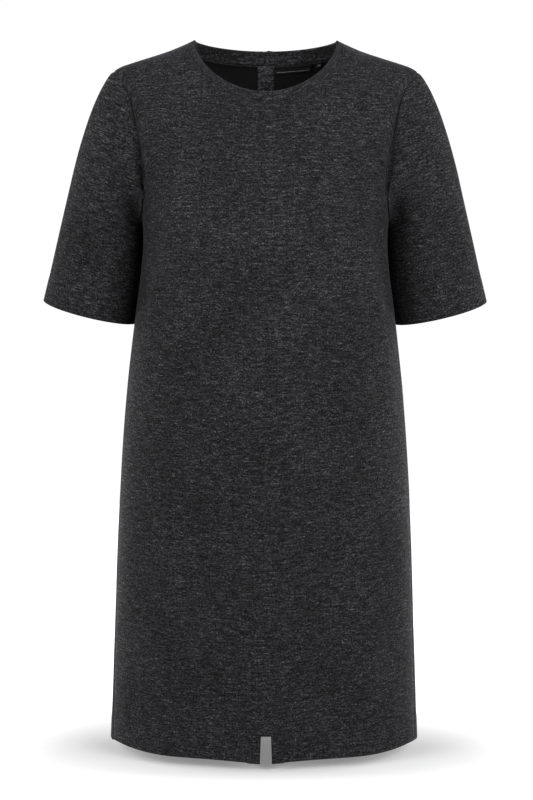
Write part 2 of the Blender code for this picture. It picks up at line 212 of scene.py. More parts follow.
# How finely the cloth is drawn: the first steps in from a seam, then even ones. Levels are
# heights, each with the step down from it.
EDGE_STEPS = (0.0, 1.5, 3.2, 5.4)
HEAD_ROWS = 34
FIRST_LEVEL = -150.0
LEVEL_STEPS = (
    (FIRST_LEVEL, 4.2),
    (-198.0, 2.2),
    (-209.0, 1.2),
    (-215.0, 0.8),
    (UNDERARM, 1.5),
    (-224.0, 4.6),
    (FACING_TOP, 4.6),
    (NOTCH_TOP, 0.0),
)
FOOT_STEPS = np.array([0.2, 0.4, 0.58, 0.74, 0.86, 0.945, 1.0])
NECK_COLUMN_TURN = 0.036
COLUMN_STEP = 3.6
EDGE_COLUMN_SHARE = 0.8
TAPE_HALF = 10.5
CENTRE_COLUMNS = (0.0, 1.5, 3.2, 5.8, TAPE_HALF)
FACING_COLUMNS = (0.0, 1.4, 3.0, 6.0, 9.5, 12.5, FACING)
NOTCH_COLUMNS = (-0.5, 0.0, 0.5)
CAP_STEPS = (0.0, 0.012, 0.028, 0.05, 0.075)
CAP_ROWS = 34
LEG_STEPS = (0.96, 0.978, 0.99, 1.0)
LEG_ROWS = 30
BAND_STEPS = np.array([0.0, 0.12, 0.22, 0.34, 0.5, 0.66, 0.78, 0.88, 1.0])
HEAD_SAMPLES = 240
ACROSS_SAMPLES = 20
# Columns that would crowd at a neck corner start further apart and close up over a drop
SPREAD_FROM = 50.0
SPREAD_DROP = 10.0

# Seams: how wide they sink, and the low ridge that the turnings make beside them
SEAM_SPREAD = 2.4
SEAM_RIDGE = 0.3
SEAM_TURNING = 7.0
BAND_SINK = 0.5
BAND_TURNING = 4.0
# Sewn edges: their lap, how little they round, and how low their last step is
SEAM_LAP = 0.5
SEAM_ROUNDING = 0.45
SEAM_TUCK = -0.2
# How nearly alike sheets must face for their seam to start to close, and to close
SEAM_APART = 0.45
SEAM_TOGETHER = 0.9
# Near a seam, the way out of the cloth eases into the seam's, in so many passes
EASE_OUT = 14.0
EASE_PASSES = 16
# The steps in which a free edge rolls over, and what keeps a sharp corner from moving in far
ROLL_ANGLES = tuple(math.pi * i / 4 for i in (1, 2, 3))
SHARPEST_CORNER = 0.3

# The turned-up hem; then the crease at the armhole: its depth, the heights at which it starts,
# is full, starts to fade and ends, and its spread on the body and on the sleeve
HEM_TURN = 30.0
HEM_STEP = 0.35
HEM_SOFTNESS = 2.2
CREASE = 7.0
CREASE_HEIGHTS = (-105.0, -160.0, -184.0, -203.0)
CREASE_BODY = 7.0
CREASE_SLEEVE = 12.0
# Fine gathers where the sleeve head is eased into the armhole
GATHER_STEP = 3.1
GATHER_HEIGHT = 0.22
GATHER_SPREAD = 7.0
GATHER_ABOVE = 150.0
# Folds fade towards seams and past their ends, and slow swells have finer ones on them
FOLD_FADE = 14.0
FOLD_END_FADE = 1.6
UNEVENNESS = 0.4
UNEVEN_SIZE = 85.0
FINER_SWELL = 0.35
FINER_SIZE = 2.7

# Inside the back neck: the strip over the centre-back seam with a sunk line of stitches near
# each side, and the lining, which waves a little across and down and is held at its edges
STRIP_DEPTH = 1.2
STRIP_LEVELS = 5
STRIP_STITCH = 0.25
STRIP_STITCH_IN = 2.0
STRIP_STITCH_SPREAD = 1.0
LINING_OUTER = 173.8
LINING_UNDER_STRIP = 3.0
LINING_LEVELS = 9
LINING_SLACK = 0.9
LINING_WAVE = (17.0, 31.0)
LINING_WAVE_START = 0.6
LINING_HELD = (12.0, 9.0)
# The facing starts a few levels above the notch, close behind the front
FACING_LEVELS = 4
FACING_DEPTH = 0.1

# Labels: start and end out from the centre and how far down the lower edge is, then the
# woven line, as shares of the label's height and width
LABELS = {
    "neck_label": (10.5, 59.0, 11.5, (0.69, 0.75), (0.08, 0.92)),
    "size_tab": (65.6, 73.0, 8.5, (0.42, 0.62), (0.2, 0.75)),
}
LABEL_TOP = 1.0
LABEL_CELL = (2.0, 1.2)
LABEL_DEPTH = 1.5
LABEL_CURL = 0.4
LABEL_WAVE = 9.0
LINE_CELLS = (4, 40)
LINE_RISE = 0.05

# Soft folds: where each starts and ends, as distances from the panel's centre line and up
# from its hem, then its half width, and its height at the start and at the end
FRONT_FOLDS = (
    (-122.0, 668.0, -150.0, 560.0, 13.0, 0.6, 2.0),
    (-150.0, 560.0, -176.0, 430.0, 15.0, 2.0, 0.2),
    (-140.0, 650.0, -168.0, 520.0, 12.0, -1.5, -0.4),
    (134.0, 662.0, 156.0, 548.0, 12.0, 0.5, 1.8),
    (156.0, 548.0, 182.0, 405.0, 16.0, 1.8, 0.2),
    (150.0, 652.0, 172.0, 540.0, 11.0, -1.4, -0.3),
    (-96.0, 742.0, -140.0, 690.0, 12.0, 0.1, -0.9),
    (104.0, 738.0, 143.0, 686.0, 13.0, 0.1, -0.8),
)
BACK_FOLDS = (
    (150.0, 655.0, 92.0, 600.0, 14.0, -1.2, -0.1),
    (168.0, 640.0, 128.0, 566.0, 16.0, 1.2, 0.2),
    (40.0, 520.0, 150.0, 486.0, 20.0, -0.3, -1.6),
    (20.0, 470.0, 128.0, 452.0, 22.0, 0.2, 1.2),
    (120.0, 770.0, 160.0, 690.0, 14.0, 0.2, -1.1),
)
SLEEVE_FOLDS = (
    (-60.0, 205.0, -112.0, 150.0, 11.0, -0.3, -1.4),
    (-136.0, 144.0, -108.0, 192.0, 13.0, -7.0, -3.0),
    (136.0, 144.0, 110.0, 188.0, 13.0, -4.5, -1.5),
    (-44.0, 168.0, -104.0, 106.0, 13.0, 0.2, 1.3),
    (70.0, 190.0, 120.0, 142.0, 12.0, -0.2, -1.3),
    (52.0, 120.0, 116.0, 84.0, 14.0, 0.2, 1.2),
    (-20.0, 60.0, -96.0, 34.0, 13.0, 0.1, -0.9),
)

# The wearer's left is at +X
SIGN = {"left": 1, "right": -1}

# The flecks' layers: how finely each is drawn along and across the dashes, how much it
# wavers, and its weight: the dashes, long streaks, fuzz, blotches and clouds
FLECKS = (
    ((0.9, 0.85, 1.0), 0.7, 1.1),
    ((0.22, 0.95, 1.3), 0.3, 0.85),
    ((1.9, 0.9, 1.7), 0.3, 1.5),
    ((0.35, 0.3, 2.1), 0.6, 0.5),
    ((0.05, 0.025, 2.9), 0.0, 0.25),
)
# Where dashes and fuzz are both light, the fleck is lighter still
SPARK_FROM = 0.37
SPARK = 0.18
FLECK_DETAIL = 0.6
# Light flecks are a little less rough than the rest
FLECK_ROUGHNESS = (-0.4, 0.9)
# How strongly and how far the cloths' faces stand out, in metres
HEATHER_BUMP = (0.5, 0.0004)
WEAVE_BUMP = (0.4, 0.0001)
# Where in the flecks each piece's cloth starts, so that its neighbours start elsewhere
FLECK_START = {
    "front": 0.0,
    "back_left": 4.7,
    "back_right": 9.4,
    "sleeve_left": 20.0,
    "sleeve_right": 25.3,
    "neckband_front": 40.0,
    "neckband_back_left": 43.9,
    "neckband_back_right": 47.8,
    "back_seam_strip": 61.0,
    "notch_facing": 67.0,
}
GRAIN_MAP = "grain"

# The stage, in metres: the floor, and how its glow spreads: dim near the dress, which paints
# the shadow there, and white away from it; where the light behind the shoulders comes from,
# and softboxes by their place, the height that they face and their size
FLOOR_BELOW = 0.0095
FLOOR_REACH = 2.6
PAINTED_SHADOW_OVAL = (0.66, 1.0, 0.0)
PAINTED_SHADOW_FADE = (0.115, 0.335)
GLOW_ASIDE = (0.5, 0.8)
GLOW_BEHIND = (-0.1, 0.25)
GLOW_ABOVE = (-0.1, 0.1)
SOFTBOXES = {
    "side": ((2.0, -1.7, 0.55), -0.25, (1.2, 1.8)),
    "front": ((1.3, -2.3, 0.3), -0.25, (1.2, 1.4)),
    "low": ((0.65, 0.7, -0.78), -0.78, (0.4, 0.2)),
}
CAMERA_ASIDE = 0.0015
CAMERA_SENSOR = 36.0
CAMERA_LENS = 104.3
CAMERA_REACH = 200.0

# The body's form


def bell(distance, spread):
    """1 at no distance, and less and less further off."""
    return np.exp(-((distance / spread) ** 2))


def way_between(value, start, end):
    """How far a value has come from a start to an end, from 0 to 1."""
    return np.clip((value - start) / (end - start), 0.0, 1.0)


def mix(start, end, share):
    """What lies between two values, at a share of the way."""
    return start + (end - start) * share


def curve(table, at):
    """The other columns of a table at values of its first, on smooth curves through it."""
    rows = np.array(table)
    if rows[0, 0] > rows[-1, 0]:
        rows = rows[::-1]
    at = np.clip(at, rows[0, 0], rows[-1, 0])
    steps = np.diff(rows[:, 0])
    slopes = np.diff(rows[:, 1:], axis=0) / steps[:, None]
    weights = steps[:-1, None] + steps[1:, None]
    inner = (slopes[:-1] * steps[1:, None] + slopes[1:] * steps[:-1, None]) / weights
    tangents = np.vstack([slopes[:1], inner, slopes[-1:]])
    i = np.clip(np.searchsorted(rows[:, 0], at, side="right") - 1, 0, len(steps) - 1)
    t = ((at - rows[i, 0]) / steps[i])[..., None]
    start = (1 + 2 * t) * (1 - t) ** 2 * rows[i, 1:]
    end = t * t * (3 - 2 * t) * rows[i + 1, 1:]
    bend = t * (1 - t) ** 2 * tangents[i] - t * t * (1 - t) * tangents[i + 1]
    return np.moveaxis(start + end + bend * steps[i][..., None], -1, 0)


def shoulder_height(x):
    return curve(SHOULDER, np.abs(x))[0]


def turn_at(x, z):
    """How far round from the centre the body reaches a distance to the side."""
    half_width, _, _, squareness = curve(BODY, z)
    return np.degrees(np.arcsin(np.minimum((x / half_width) ** (squareness / 2), 1.0)))


def flutes(turn, z):
    """How far the skirt's soft folds stand out at a place."""
    fall = way_between(z, FLUTES_START, HEM)
    stands = sum(
        height * bell(np.abs(turn) - middle, spread) for middle, height, spread in FLUTES
    )
    return stands * fall * fall * (3 - 2 * fall)


def body_points(turn, z):
    """Points on the outside of the body."""
    turn, z = np.broadcast_arrays(np.asarray(turn, float), np.asarray(z, float))
    half_width, front, back, squareness = curve(BODY, z)
    facing = np.abs(turn) <= 90
    power = 2 / squareness
    side = np.abs(np.sin(np.radians(turn))) ** power
    out = np.abs(np.cos(np.radians(turn))) ** power
    depth = np.where(facing, front, back) + flutes(turn, z)
    x = half_width * side
    along = way_between(x, NECK_CORNER, SHOULDER_POINT)
    rounding = [mix(start, end, along) for start, end in ROUNDING]
    below = (shoulder_height(x) - z) / np.where(facing, *rounding)
    below = np.where(below > 1e-6, np.clip(below, 0.0, 1.0), 0.0)
    reach = depth * out * np.sqrt(1 - (1 - below) ** 2)
    return np.stack([np.copysign(x, turn), np.where(facing, -reach, reach), z], axis=-1)


def edge_turn(z, back):
    """How far round a panel reaches: to the armhole, and below it to the side seam."""
    _, front, _, squareness = curve(BODY, z)
    share = np.clip((UNDERARM - z) / (UNDERARM - HEM), 0.0, None)
    forward = mix(SEAM_FORWARD_TOP, SEAM_FORWARD_HEM, share)
    side = np.degrees(np.arccos((forward / front) ** (squareness / 2)))
    side = 180 - side if back else side
    arm = curve(ARMHOLE, z)[1 if back else 0]
    turn = np.where(z >= UNDERARM, arm, side)
    return np.where(z >= SHOULDER_END, turn_at(SHOULDER_POINT, z), turn)


def fan_turn(z, back):
    """How far round the columns of a panel would reach if none bent to its edge."""
    fan = curve(FAN, z)[1 if back else 0]
    return np.where(z >= SHOULDER_END, turn_at(SHOULDER_POINT, z), fan)


def neck_swing(x):
    """How far round the neck a place is, from 0 at its corner to 1 at the centre."""
    return np.sqrt(np.clip(1 - (x / NECK_CORNER) ** 2, 0.0, 1.0))


def neck_seam_height(x, back):
    drop, power = NECK_SEAM[back]
    return NECK_CORNER_HEIGHT - drop * neck_swing(x) ** power


def neck_edge(x, back):
    """The band's edge, opposite the points of its seam that lie x from the centre."""
    depth, drop, power = NECK_EDGE[back]
    swing = neck_swing(x)
    return np.stack([EDGE_HALF_WIDTH * (x / NECK_CORNER), depth * swing, -drop * swing**power], axis=-1)


def hem_height(turn):
    """The hem rises a little to the side seams, and dips at the front, by the notch most."""
    rise = bell(np.abs(turn) - HEM_RISE_TURN, HEM_RISE_SPREAD)
    swing = np.where(np.abs(turn) > 90, 0.0, np.cos(np.radians(turn)))
    dip = HEM_DIP_FRONT * swing**2 + HEM_DIP_NOTCH * swing**HEM_DIP_NOTCH_POWER
    return HEM + HEM_RISE_SIDE * rise - dip


def notch_half(z):
    """Half the notch's width at a height."""
    return mix(NOTCH_HALF_TOP, NOTCH_HALF_HEM, way_between(z, NOTCH_TOP, HEM))


def even_steps(stops, step):
    """Values through each of the stops, no more than a step apart."""
    values = []
    for start, end in zip(stops, stops[1:]):
        count = max(1, math.ceil(abs(end - start) / step))
        values += [start + (end - start) * i / count for i in range(count)]
    return np.array([*values, stops[-1]])


LEVELS = np.concatenate([
    even_steps((start, end), step)[1:]
    for (start, step), (end, _) in zip(LEVEL_STEPS, LEVEL_STEPS[1:])
])
FIRST_LEVEL_ROW = HEAD_ROWS + len(EDGE_STEPS)
UNDERARM_ROW = FIRST_LEVEL_ROW + int(np.argmin(np.abs(LEVELS - UNDERARM)))


def column_turns(tops, z, back):
    """How far round each fanned column lies at its heights."""
    start = column_tops(tops, back)
    first = math.asin(SPREAD_FROM / NECK_CORNER)
    around = (np.arcsin(np.minimum(tops / NECK_CORNER, 1.0)) - first) / (math.pi / 2 - first)
    even = mix(SPREAD_FROM, NECK_CORNER, around)
    even = np.where((tops > SPREAD_FROM) & (tops < NECK_CORNER), (tops + even) / 2, tops)
    spread = np.exp((np.minimum(z, start) - start) / SPREAD_DROP)
    share = turn_at(mix(even, tops, spread), start) / fan_turn(start, back)
    reach = fan_turn(z, back)
    return share * reach + share**EDGE_POWER * (edge_turn(z, back) - reach)


def column_tops(tops, back):
    """The heights at which columns start, on the neck seam or on the shoulder."""
    return np.where(tops <= NECK_CORNER, neck_seam_height(tops, back), shoulder_height(tops))


def lengths_along(points, axis):
    """How far each point of a grid lies along its row or column."""
    steps = np.linalg.norm(np.diff(points, axis=axis), axis=-1)
    start = np.zeros_like(np.take(steps, [0], axis=axis))
    return np.cumsum(np.concatenate([start, steps], axis=axis), axis=axis)


def heights_down(top, turns):
    """The heights of a column's rows, evenly spaced down the cloth from its seam."""
    drop = np.linspace(0.0, 1.0, HEAD_SAMPLES) ** 2
    z = mix(top, FIRST_LEVEL, drop)
    way = lengths_along(body_points(turns(z), z), 0)
    steps = np.concatenate([EDGE_STEPS, np.linspace(EDGE_STEPS[-1], way[-1], HEAD_ROWS + 1)[1:]])
    head = np.interp(steps, way, z)
    hem = hem_height(turns(np.array([HEM]))[0])
    return np.concatenate([head, LEVELS, mix(NOTCH_TOP, hem, FOOT_STEPS)])


def panel_grid(columns, back=False):
    """A panel's points and its cloth places, from each column's top and turns."""
    points, places = [], []
    for top, turns in columns:
        z = heights_down(top, turns)
        turn = turns(z)
        column = body_points(turn, z)
        centre = 180.0 * np.sign(turn) if back else 0.0 * turn
        shares = np.linspace(0.0, 1.0, ACROSS_SAMPLES)[:, None]
        level = body_points(mix(centre, turn, shares), z + 0 * shares)
        across = np.linalg.norm(np.diff(level, axis=0), axis=-1).sum(axis=0)
        way = lengths_along(column, 0)
        points.append(column)
        places.append(np.stack([across * np.sign(turn), way[-1] - way], axis=-1))
    return np.array(points).transpose(1, 0, 2), np.array(places).transpose(1, 0, 2)


def fanned(top, back, sign=1):
    """A column of a panel that starts at a distance from the centre and fans out."""
    def turns(z):
        turn = column_turns(top, z, back)
        return sign * (180 - turn if back else turn)
    return float(column_tops(top, back)), turns


def beside_notch(share, width):
    """A column in the notch, or a width outside one of its sides."""
    def turns(z):
        x = NOTCH_CENTRE + share * notch_half(z) + width
        return np.sign(x) * turn_at(np.abs(x), z)
    x = abs(NOTCH_CENTRE + share * NOTCH_HALF_TOP + width)
    return float(column_tops(x, False)), turns


def at_distance(distance):
    """A column of the back that stays a distance from the centre."""
    return float(column_tops(distance, True)), lambda z: 180 - turn_at(distance, z)


def outer_tops(start):
    """Where the columns of a panel start, from near its centre out to the shoulder point."""
    around = even_steps((math.asin(start / NECK_CORNER), math.pi / 2), NECK_COLUMN_TURN)
    stops = NECK_CORNER * np.sin(around)
    last = SHOULDER_POINT - np.array(EDGE_STEPS)[:0:-1] * EDGE_COLUMN_SHARE
    shoulder = even_steps((NECK_CORNER, last[0]), COLUMN_STEP)[1:-1]
    return [*stops[1:-1], NECK_CORNER, *shoulder, *last, SHOULDER_POINT]


def sided(side, *grids):
    """Grids as they are on the left, or on the other side of the body."""
    if side == "left":
        return grids
    return [grid[:, ::-1] * np.array([-1.0, 1.0, 1.0])[: grid.shape[-1]] for grid in grids]


# Sheets of cloth


class Cloth:
    """A panel of cloth: a grid of points on its outside, rows going down, and the places
    in the flat cloth that they come from, in millimetres across and up."""

    def __init__(self, grid, place, wall):
        self.grid = grid
        self.place = place
        self.wall = wall
        self.cells = np.ones((grid.shape[0] - 1, grid.shape[1] - 1), bool)
        self.normal = normals_of(grid)
        self.out = self.normal.copy()
        self.relief = np.zeros(grid.shape[:2])
        self.sewn = set()
        self.room = np.zeros(grid.shape[:2])

    def quads(self):
        """The corners of each cell, going round it as seen from outside."""
        for row, column in np.argwhere(self.cells):
            after = column + 1
            yield (row, column), (row + 1, column), (row + 1, after), (row, after)

    def border(self):
        """The border's edges, as pairs of corners, without those on the sheet's inside."""
        edges = {}
        for corners in self.quads():
            for i in range(4):
                a, b = corners[i], corners[(i + 1) % 4]
                if edges.pop((b, a), None) is None:
                    edges[a, b] = True
        return list(edges)

    def from_edges(self):
        """How far each point lies from the top, bottom, first and last edges."""
        down = lengths_along(self.grid, 0)
        across = lengths_along(self.grid, 1)
        return down, down[-1] - down, across, across[:, -1:] - across

    def from_top(self):
        """How far each point lies from the nearest part of the top edge."""
        nearest = np.full(self.grid.shape[:2], np.inf)
        for start, end in zip(self.grid[0], self.grid[0, 1:]):
            step = end - start
            share = np.clip((self.grid - start) @ step / (step @ step), 0.0, 1.0)
            off = self.grid - start - share[..., None] * step
            nearest = np.minimum(nearest, np.linalg.norm(off, axis=-1))
        return nearest

    def add_folds(self, folds, flip=1):
        """Soft troughs and ridges that rise from one end to the other and fade at both.

        They fade at the seams too, over the room that each point has to them.
        """
        u, v = self.place[..., 0] * flip, self.place[..., 1]
        held = 1 - bell(self.room, FOLD_FADE)
        for u0, v0, u1, v1, width, start, end in folds:
            along = np.array([u1 - u0, v1 - v0])
            length = np.linalg.norm(along)
            along /= length
            way = ((u - u0) * along[0] + (v - v0) * along[1]) / length
            off = (v - v0) * along[0] - (u - u0) * along[1]
            height = mix(start, end, np.clip(way, 0.0, 1.0))
            past = np.maximum(np.maximum(-way, way - 1), 0.0) * length
            fade = bell(past, FOLD_END_FADE * width)
            self.relief += held * height * fade * bell(off, width)

    def add_unevenness(self):
        """The cloth is never quite even: slow swells, and smaller ones on them."""
        for place in np.ndindex(self.relief.shape):
            spot = Vector(self.grid[place] / UNEVEN_SIZE)
            swell = noise.noise(spot) + FINER_SWELL * noise.noise(spot * FINER_SIZE)
            self.relief[place] += UNEVENNESS * swell

    def used(self):
        """Which points of the grid the sheet's cells reach."""
        used = np.zeros(self.grid.shape[:2], bool)
        used[:-1, :-1] |= self.cells
        used[1:, :-1] |= self.cells
        used[:-1, 1:] |= self.cells
        used[1:, 1:] |= self.cells
        return used

    def way_out(self, corner):
        """The direction in the flat cloth that leads off it at a corner of the border."""
        row, column = corner
        around = (slice(max(row - 1, 0), row + 2), slice(max(column - 1, 0), column + 2))
        way = self.place[corner] - self.place[around][self.used()[around]].mean(axis=0)
        return way / max(np.linalg.norm(way), 1e-9)

    def ease_out(self):
        """Turns the way out beside the seams gradually into the seams' own."""
        held = self.room > EASE_OUT
        for place in self.sewn:
            held[place] = True
        own = self.out.copy()
        for _ in range(EASE_PASSES):
            around = np.pad(self.out, ((1, 1), (1, 1), (0, 0)), mode="edge")
            mean = around[:-2, 1:-1] + around[2:, 1:-1] + around[1:-1, :-2] + around[1:-1, 2:]
            mean /= np.linalg.norm(mean, axis=-1, keepdims=True)
            self.out = np.where(held[..., None], own, mean)

    def mesh(self, name):
        """The closed shell: its free edges roll over from the outside to the inside, and its
        sewn edges roll in and lap under the next sheet, so no light comes through the seam."""
        points = self.grid + self.out * self.relief[..., None]
        ways = {}
        for a, b in self.border():
            edge = points[b] - points[a]
            for corner in (a, b):
                way = np.cross(self.normal[corner], edge)
                ways.setdefault(corner, []).append(way / max(np.linalg.norm(way), 1e-9))
        half = self.wall / 2
        outward = {}
        for corner, found in ways.items():
            one, two = found[0], found[-1]
            move = (one + two) / max(1 + one @ two, SHARPEST_CORNER)
            points[corner] = points[corner] + move * half
            outward[corner] = -move
        inside = points - self.normal * self.wall
        for corner in self.sewn & outward.keys():
            inside[corner] += outward[corner] * (half + SEAM_LAP)

        used = self.used()
        number = np.cumsum(used.ravel()).reshape(used.shape) - 1
        count = int(used.sum())
        vertices = [*points[used], *inside[used]]
        places = [*self.place[used], *self.place[used]]
        rings = {}
        for corner, way in outward.items():
            ring = [number[corner]]
            off = self.way_out(corner)
            for angle in ROLL_ANGLES:
                rise, reach = math.cos(angle), math.sin(angle)
                if corner in self.sewn:
                    rise = 1 - (1 - rise) * SEAM_ROUNDING
                    if angle > math.pi / 2:
                        rise, reach = SEAM_TUCK, 1 + SEAM_LAP / half
                ring.append(len(vertices))
                vertices.append(points[corner] + (self.normal[corner] * (rise - 1) + way * reach) * half)
                places.append(self.place[corner] + off * reach * half)
            rings[corner] = [*ring, number[corner] + count]
        faces = []
        for corners in self.quads():
            face = [int(number[corner]) for corner in corners]
            faces.append(face)
            faces.append([i + count for i in reversed(face)])
        for a, b in self.border():
            for i in range(len(ROLL_ANGLES) + 1):
                faces.append([rings[b][i], rings[a][i], rings[a][i + 1], rings[b][i + 1]])
        return made_mesh(name, np.array(vertices), np.array(places), faces)


def normals_of(grid):
    """Outward directions at the points of a grid."""
    normal = np.cross(np.gradient(grid, axis=0), np.gradient(grid, axis=1))
    return normal / np.maximum(np.linalg.norm(normal, axis=2), 1e-9)[:, :, None]


def made_mesh(name, vertices, places, faces):
    """A smooth mesh in metres, with the cloth's own places as its map."""
    mesh = bpy.data.meshes.new(name)
    mesh.from_pydata((vertices / METRE).tolist(), [], [[int(i) for i in f] for f in faces])
    mesh.validate()
    mesh.shade_smooth()
    corners = np.empty(len(mesh.loops), np.int32)
    mesh.loops.foreach_get("vertex_index", corners)
    layer = mesh.uv_layers.new(name=GRAIN_MAP)
    layer.uv.foreach_set("vector", (places[corners] / METRE).astype(np.float32).ravel())
    return mesh


def sew(sheets):
    """Gives the sheets that meet at a seam one way inward and one depth there.

    Where they turn away from each other they stay where they are, so no seam opens.
    """
    meetings = {}
    for sheet in sheets:
        for place in sorted({corner for edge in sheet.border() for corner in edge}):
            key = tuple(np.round(sheet.grid[place], 1) + 0.0)
            meetings.setdefault(key, []).append((sheet, place))
    for meeting in meetings.values():
        if len(meeting) < 2:
            continue
        shared = sum(sheet.normal[place] for sheet, place in meeting) / len(meeting)
        length = np.linalg.norm(shared)
        closed = way_between(length, SEAM_APART, SEAM_TOGETHER)
        relief = closed * sum(sheet.relief[place] for sheet, place in meeting) / len(meeting)
        for sheet, place in meeting:
            sheet.out[place] = shared / max(length, 1e-9)
            sheet.relief[place] = relief
            sheet.sewn.add(place)
    for sheet in sheets:
        sheet.ease_out()


def crease_relief(cloth, distance, spread):
    """Above the underarm the armhole's seam lies in a deep crease."""
    height = cloth.grid[..., 2]
    start, deep, shallow, end = CREASE_HEIGHTS
    share = np.minimum(way_between(height, start, deep), way_between(height, end, shallow))
    return -CREASE * share**2 * (3 - 2 * share) * bell(distance, spread)


def seam_relief(distance, sink, turning):
    """The cloth sinks at a seam, and stands out a little over the turnings beside it."""
    dip = sink * bell(distance, SEAM_SPREAD)
    return SEAM_RIDGE * bell(distance - turning, turning) - dip


def hem_relief(distance):
    """The turned-up hem makes the cloth stand out a little, up to a faint line."""
    return HEM_STEP * 0.5 * (1 - np.tanh((distance - HEM_TURN) / HEM_SOFTNESS))


def flat_corner(relief, points, seam):
    """Beside a neck corner the seams lie flat, so the shoulder runs on up the band."""
    away = np.full(points.shape[:2], np.inf)
    for corner in (-NECK_CORNER, NECK_CORNER):
        nearest = seam[np.argmin(np.abs(seam[:, 0] - corner))]
        if abs(nearest[0] - corner) < 1.0:
            away = np.minimum(away, np.linalg.norm(points - nearest, axis=-1))
    return relief + (CORNER_LIFT - relief) * bell(away, CORNER_REACH)


# Panels


def shaped_panel(cloth, bottom, sides, armhole, sink, folds, flip=1):
    """Gives a panel its seams, hem, armhole creases, neck corners, folds and swells."""
    cloth.room = np.minimum(cloth.from_top(), sides)
    cloth.relief += seam_relief(cloth.room, sink, SEAM_TURNING) + hem_relief(bottom)
    cloth.relief += crease_relief(cloth, armhole, CREASE_BODY)
    cloth.relief = flat_corner(cloth.relief, cloth.grid, cloth.grid[0])
    cloth.add_folds(folds, flip)
    cloth.add_unevenness()
    return cloth


def front_cloth(sink):
    """The front in one piece, open at the notch."""
    tops = outer_tops(NOTCH_HALF_HEM + FACING + NOTCH_CENTRE)
    half = [fanned(top, False) for top in tops]
    other = [fanned(top, False, -1) for top in reversed(tops)]
    left = [beside_notch(-1, -width) for width in reversed(FACING_COLUMNS)]
    inside = [beside_notch(share, 0.0) for share in NOTCH_COLUMNS]
    right = [beside_notch(1, width) for width in FACING_COLUMNS]
    cloth = Cloth(*panel_grid([*other, *left, *inside, *right, *half]), CLOTH)
    notch = len(other) + len(left) - 1
    cloth.cells[-len(FOOT_STEPS):, notch:notch + len(inside) + 1] = False
    _, bottom, first, last = cloth.from_edges()
    sides = np.minimum(first, last)
    return shaped_panel(cloth, bottom, sides, sides, sink, FRONT_FOLDS)


def back_cloth(side, sink):
    """The back's half on one side, from its side seam to the centre back."""
    straight = [at_distance(x) for x in CENTRE_COLUMNS]
    columns = [*straight, *(fanned(top, True) for top in outer_tops(TAPE_HALF))]
    cloth = Cloth(*sided(side, *panel_grid(columns[::-1], True)), CLOTH)
    _, bottom, first, last = cloth.from_edges()
    if side == "right":
        near = last / HEM_CORNER_WIDTH
        foot = np.clip(1 - bottom / HEM_CORNER_HEIGHT, 0.0, 1.0)
        cloth.grid[..., 2] -= HEM_CORNER * foot * near * np.exp(1 - near)
    armhole = first if side == "left" else last
    sides = np.minimum(first, last)
    return shaped_panel(cloth, bottom, sides, armhole, sink, BACK_FOLDS, SIGN[side])


def ring(outer, inner, half_depth, drop, turns):
    """A slanted oval: its points at turns from the outer end, round by the back."""
    outer, inner = np.array(outer), np.array(inner)
    across = (outer - inner) / 2
    behind = np.array([0.0, half_depth, drop])
    return (outer + inner) / 2 + np.cos(turns)[:, None] * across + np.sin(turns)[:, None] * behind


def sleeve_grid(front_edge, back_edge):
    """The left sleeve's points and places, on its armhole, down to the cuff.

    Its columns start under the arm and go up the front, over the shoulder and down the
    back, so the first and the last meet in the sleeve's own seam.
    """
    loop = np.vstack([front_edge[::-1], back_edge[1:]])
    crown = len(front_edge) - 1
    way = lengths_along(loop, 0)
    front_share = (way[crown] - way) / way[crown]
    back_share = (way - way[crown]) / (way[-1] - way[crown])
    side = np.where(way <= way[crown], -front_share, back_share)
    share = np.abs(side)
    turns = math.pi * side
    upper = ring(RING_OUTER, RING_INNER, RING_HALF_DEPTH, 0.0, turns)
    cuff = ring(CUFF_OUTER, CUFF_INNER, CUFF_HALF_DEPTH, CUFF_FRONT_DROP, turns)
    slope = np.radians(mix(CAP_SLOPE, UNDERARM_SLOPE, share**2))
    leave = np.stack([np.cos(slope), CAP_FULLNESS * np.sin(turns), -np.sin(slope)], axis=1)
    leave /= np.linalg.norm(leave, axis=1)[:, None]
    arrive = (cuff - upper) / np.linalg.norm(cuff - upper, axis=1)[:, None]
    chord = np.linalg.norm(upper - loop, axis=1)[:, None]
    first = loop + leave * chord * CAP_START
    second = upper - arrive * chord * CAP_END
    rows = []
    for t in [*CAP_STEPS[:-1], *even_steps((CAP_STEPS[-1], 1.0), 1 / CAP_ROWS)[:-1]]:
        near = loop * (1 - t) ** 3 + first * 3 * t * (1 - t) ** 2
        rows.append(near + second * 3 * t * t * (1 - t) + upper * t**3)
    legs = [*even_steps((0.0, LEG_STEPS[0]), 1 / LEG_ROWS), *LEG_STEPS[1:]]
    bow = np.zeros_like(loop)
    bow[:, 0] = -INNER_BOW * ((1 - np.cos(turns)) / 2) ** 3
    rows += [mix(upper, cuff, t) + bow * math.sin(math.pi * t) ** 2 for t in legs]
    grid = np.array(rows)

    axis = cuff.mean(axis=0) - upper.mean(axis=0)
    axis /= np.linalg.norm(axis)
    radius = np.linalg.norm(np.diff(cuff, axis=0), axis=1).sum() / (2 * math.pi)
    way = lengths_along(grid, 0)
    across = np.broadcast_to(turns * radius, way.shape)
    return grid, np.stack([across, way[-1] - way], axis=-1)


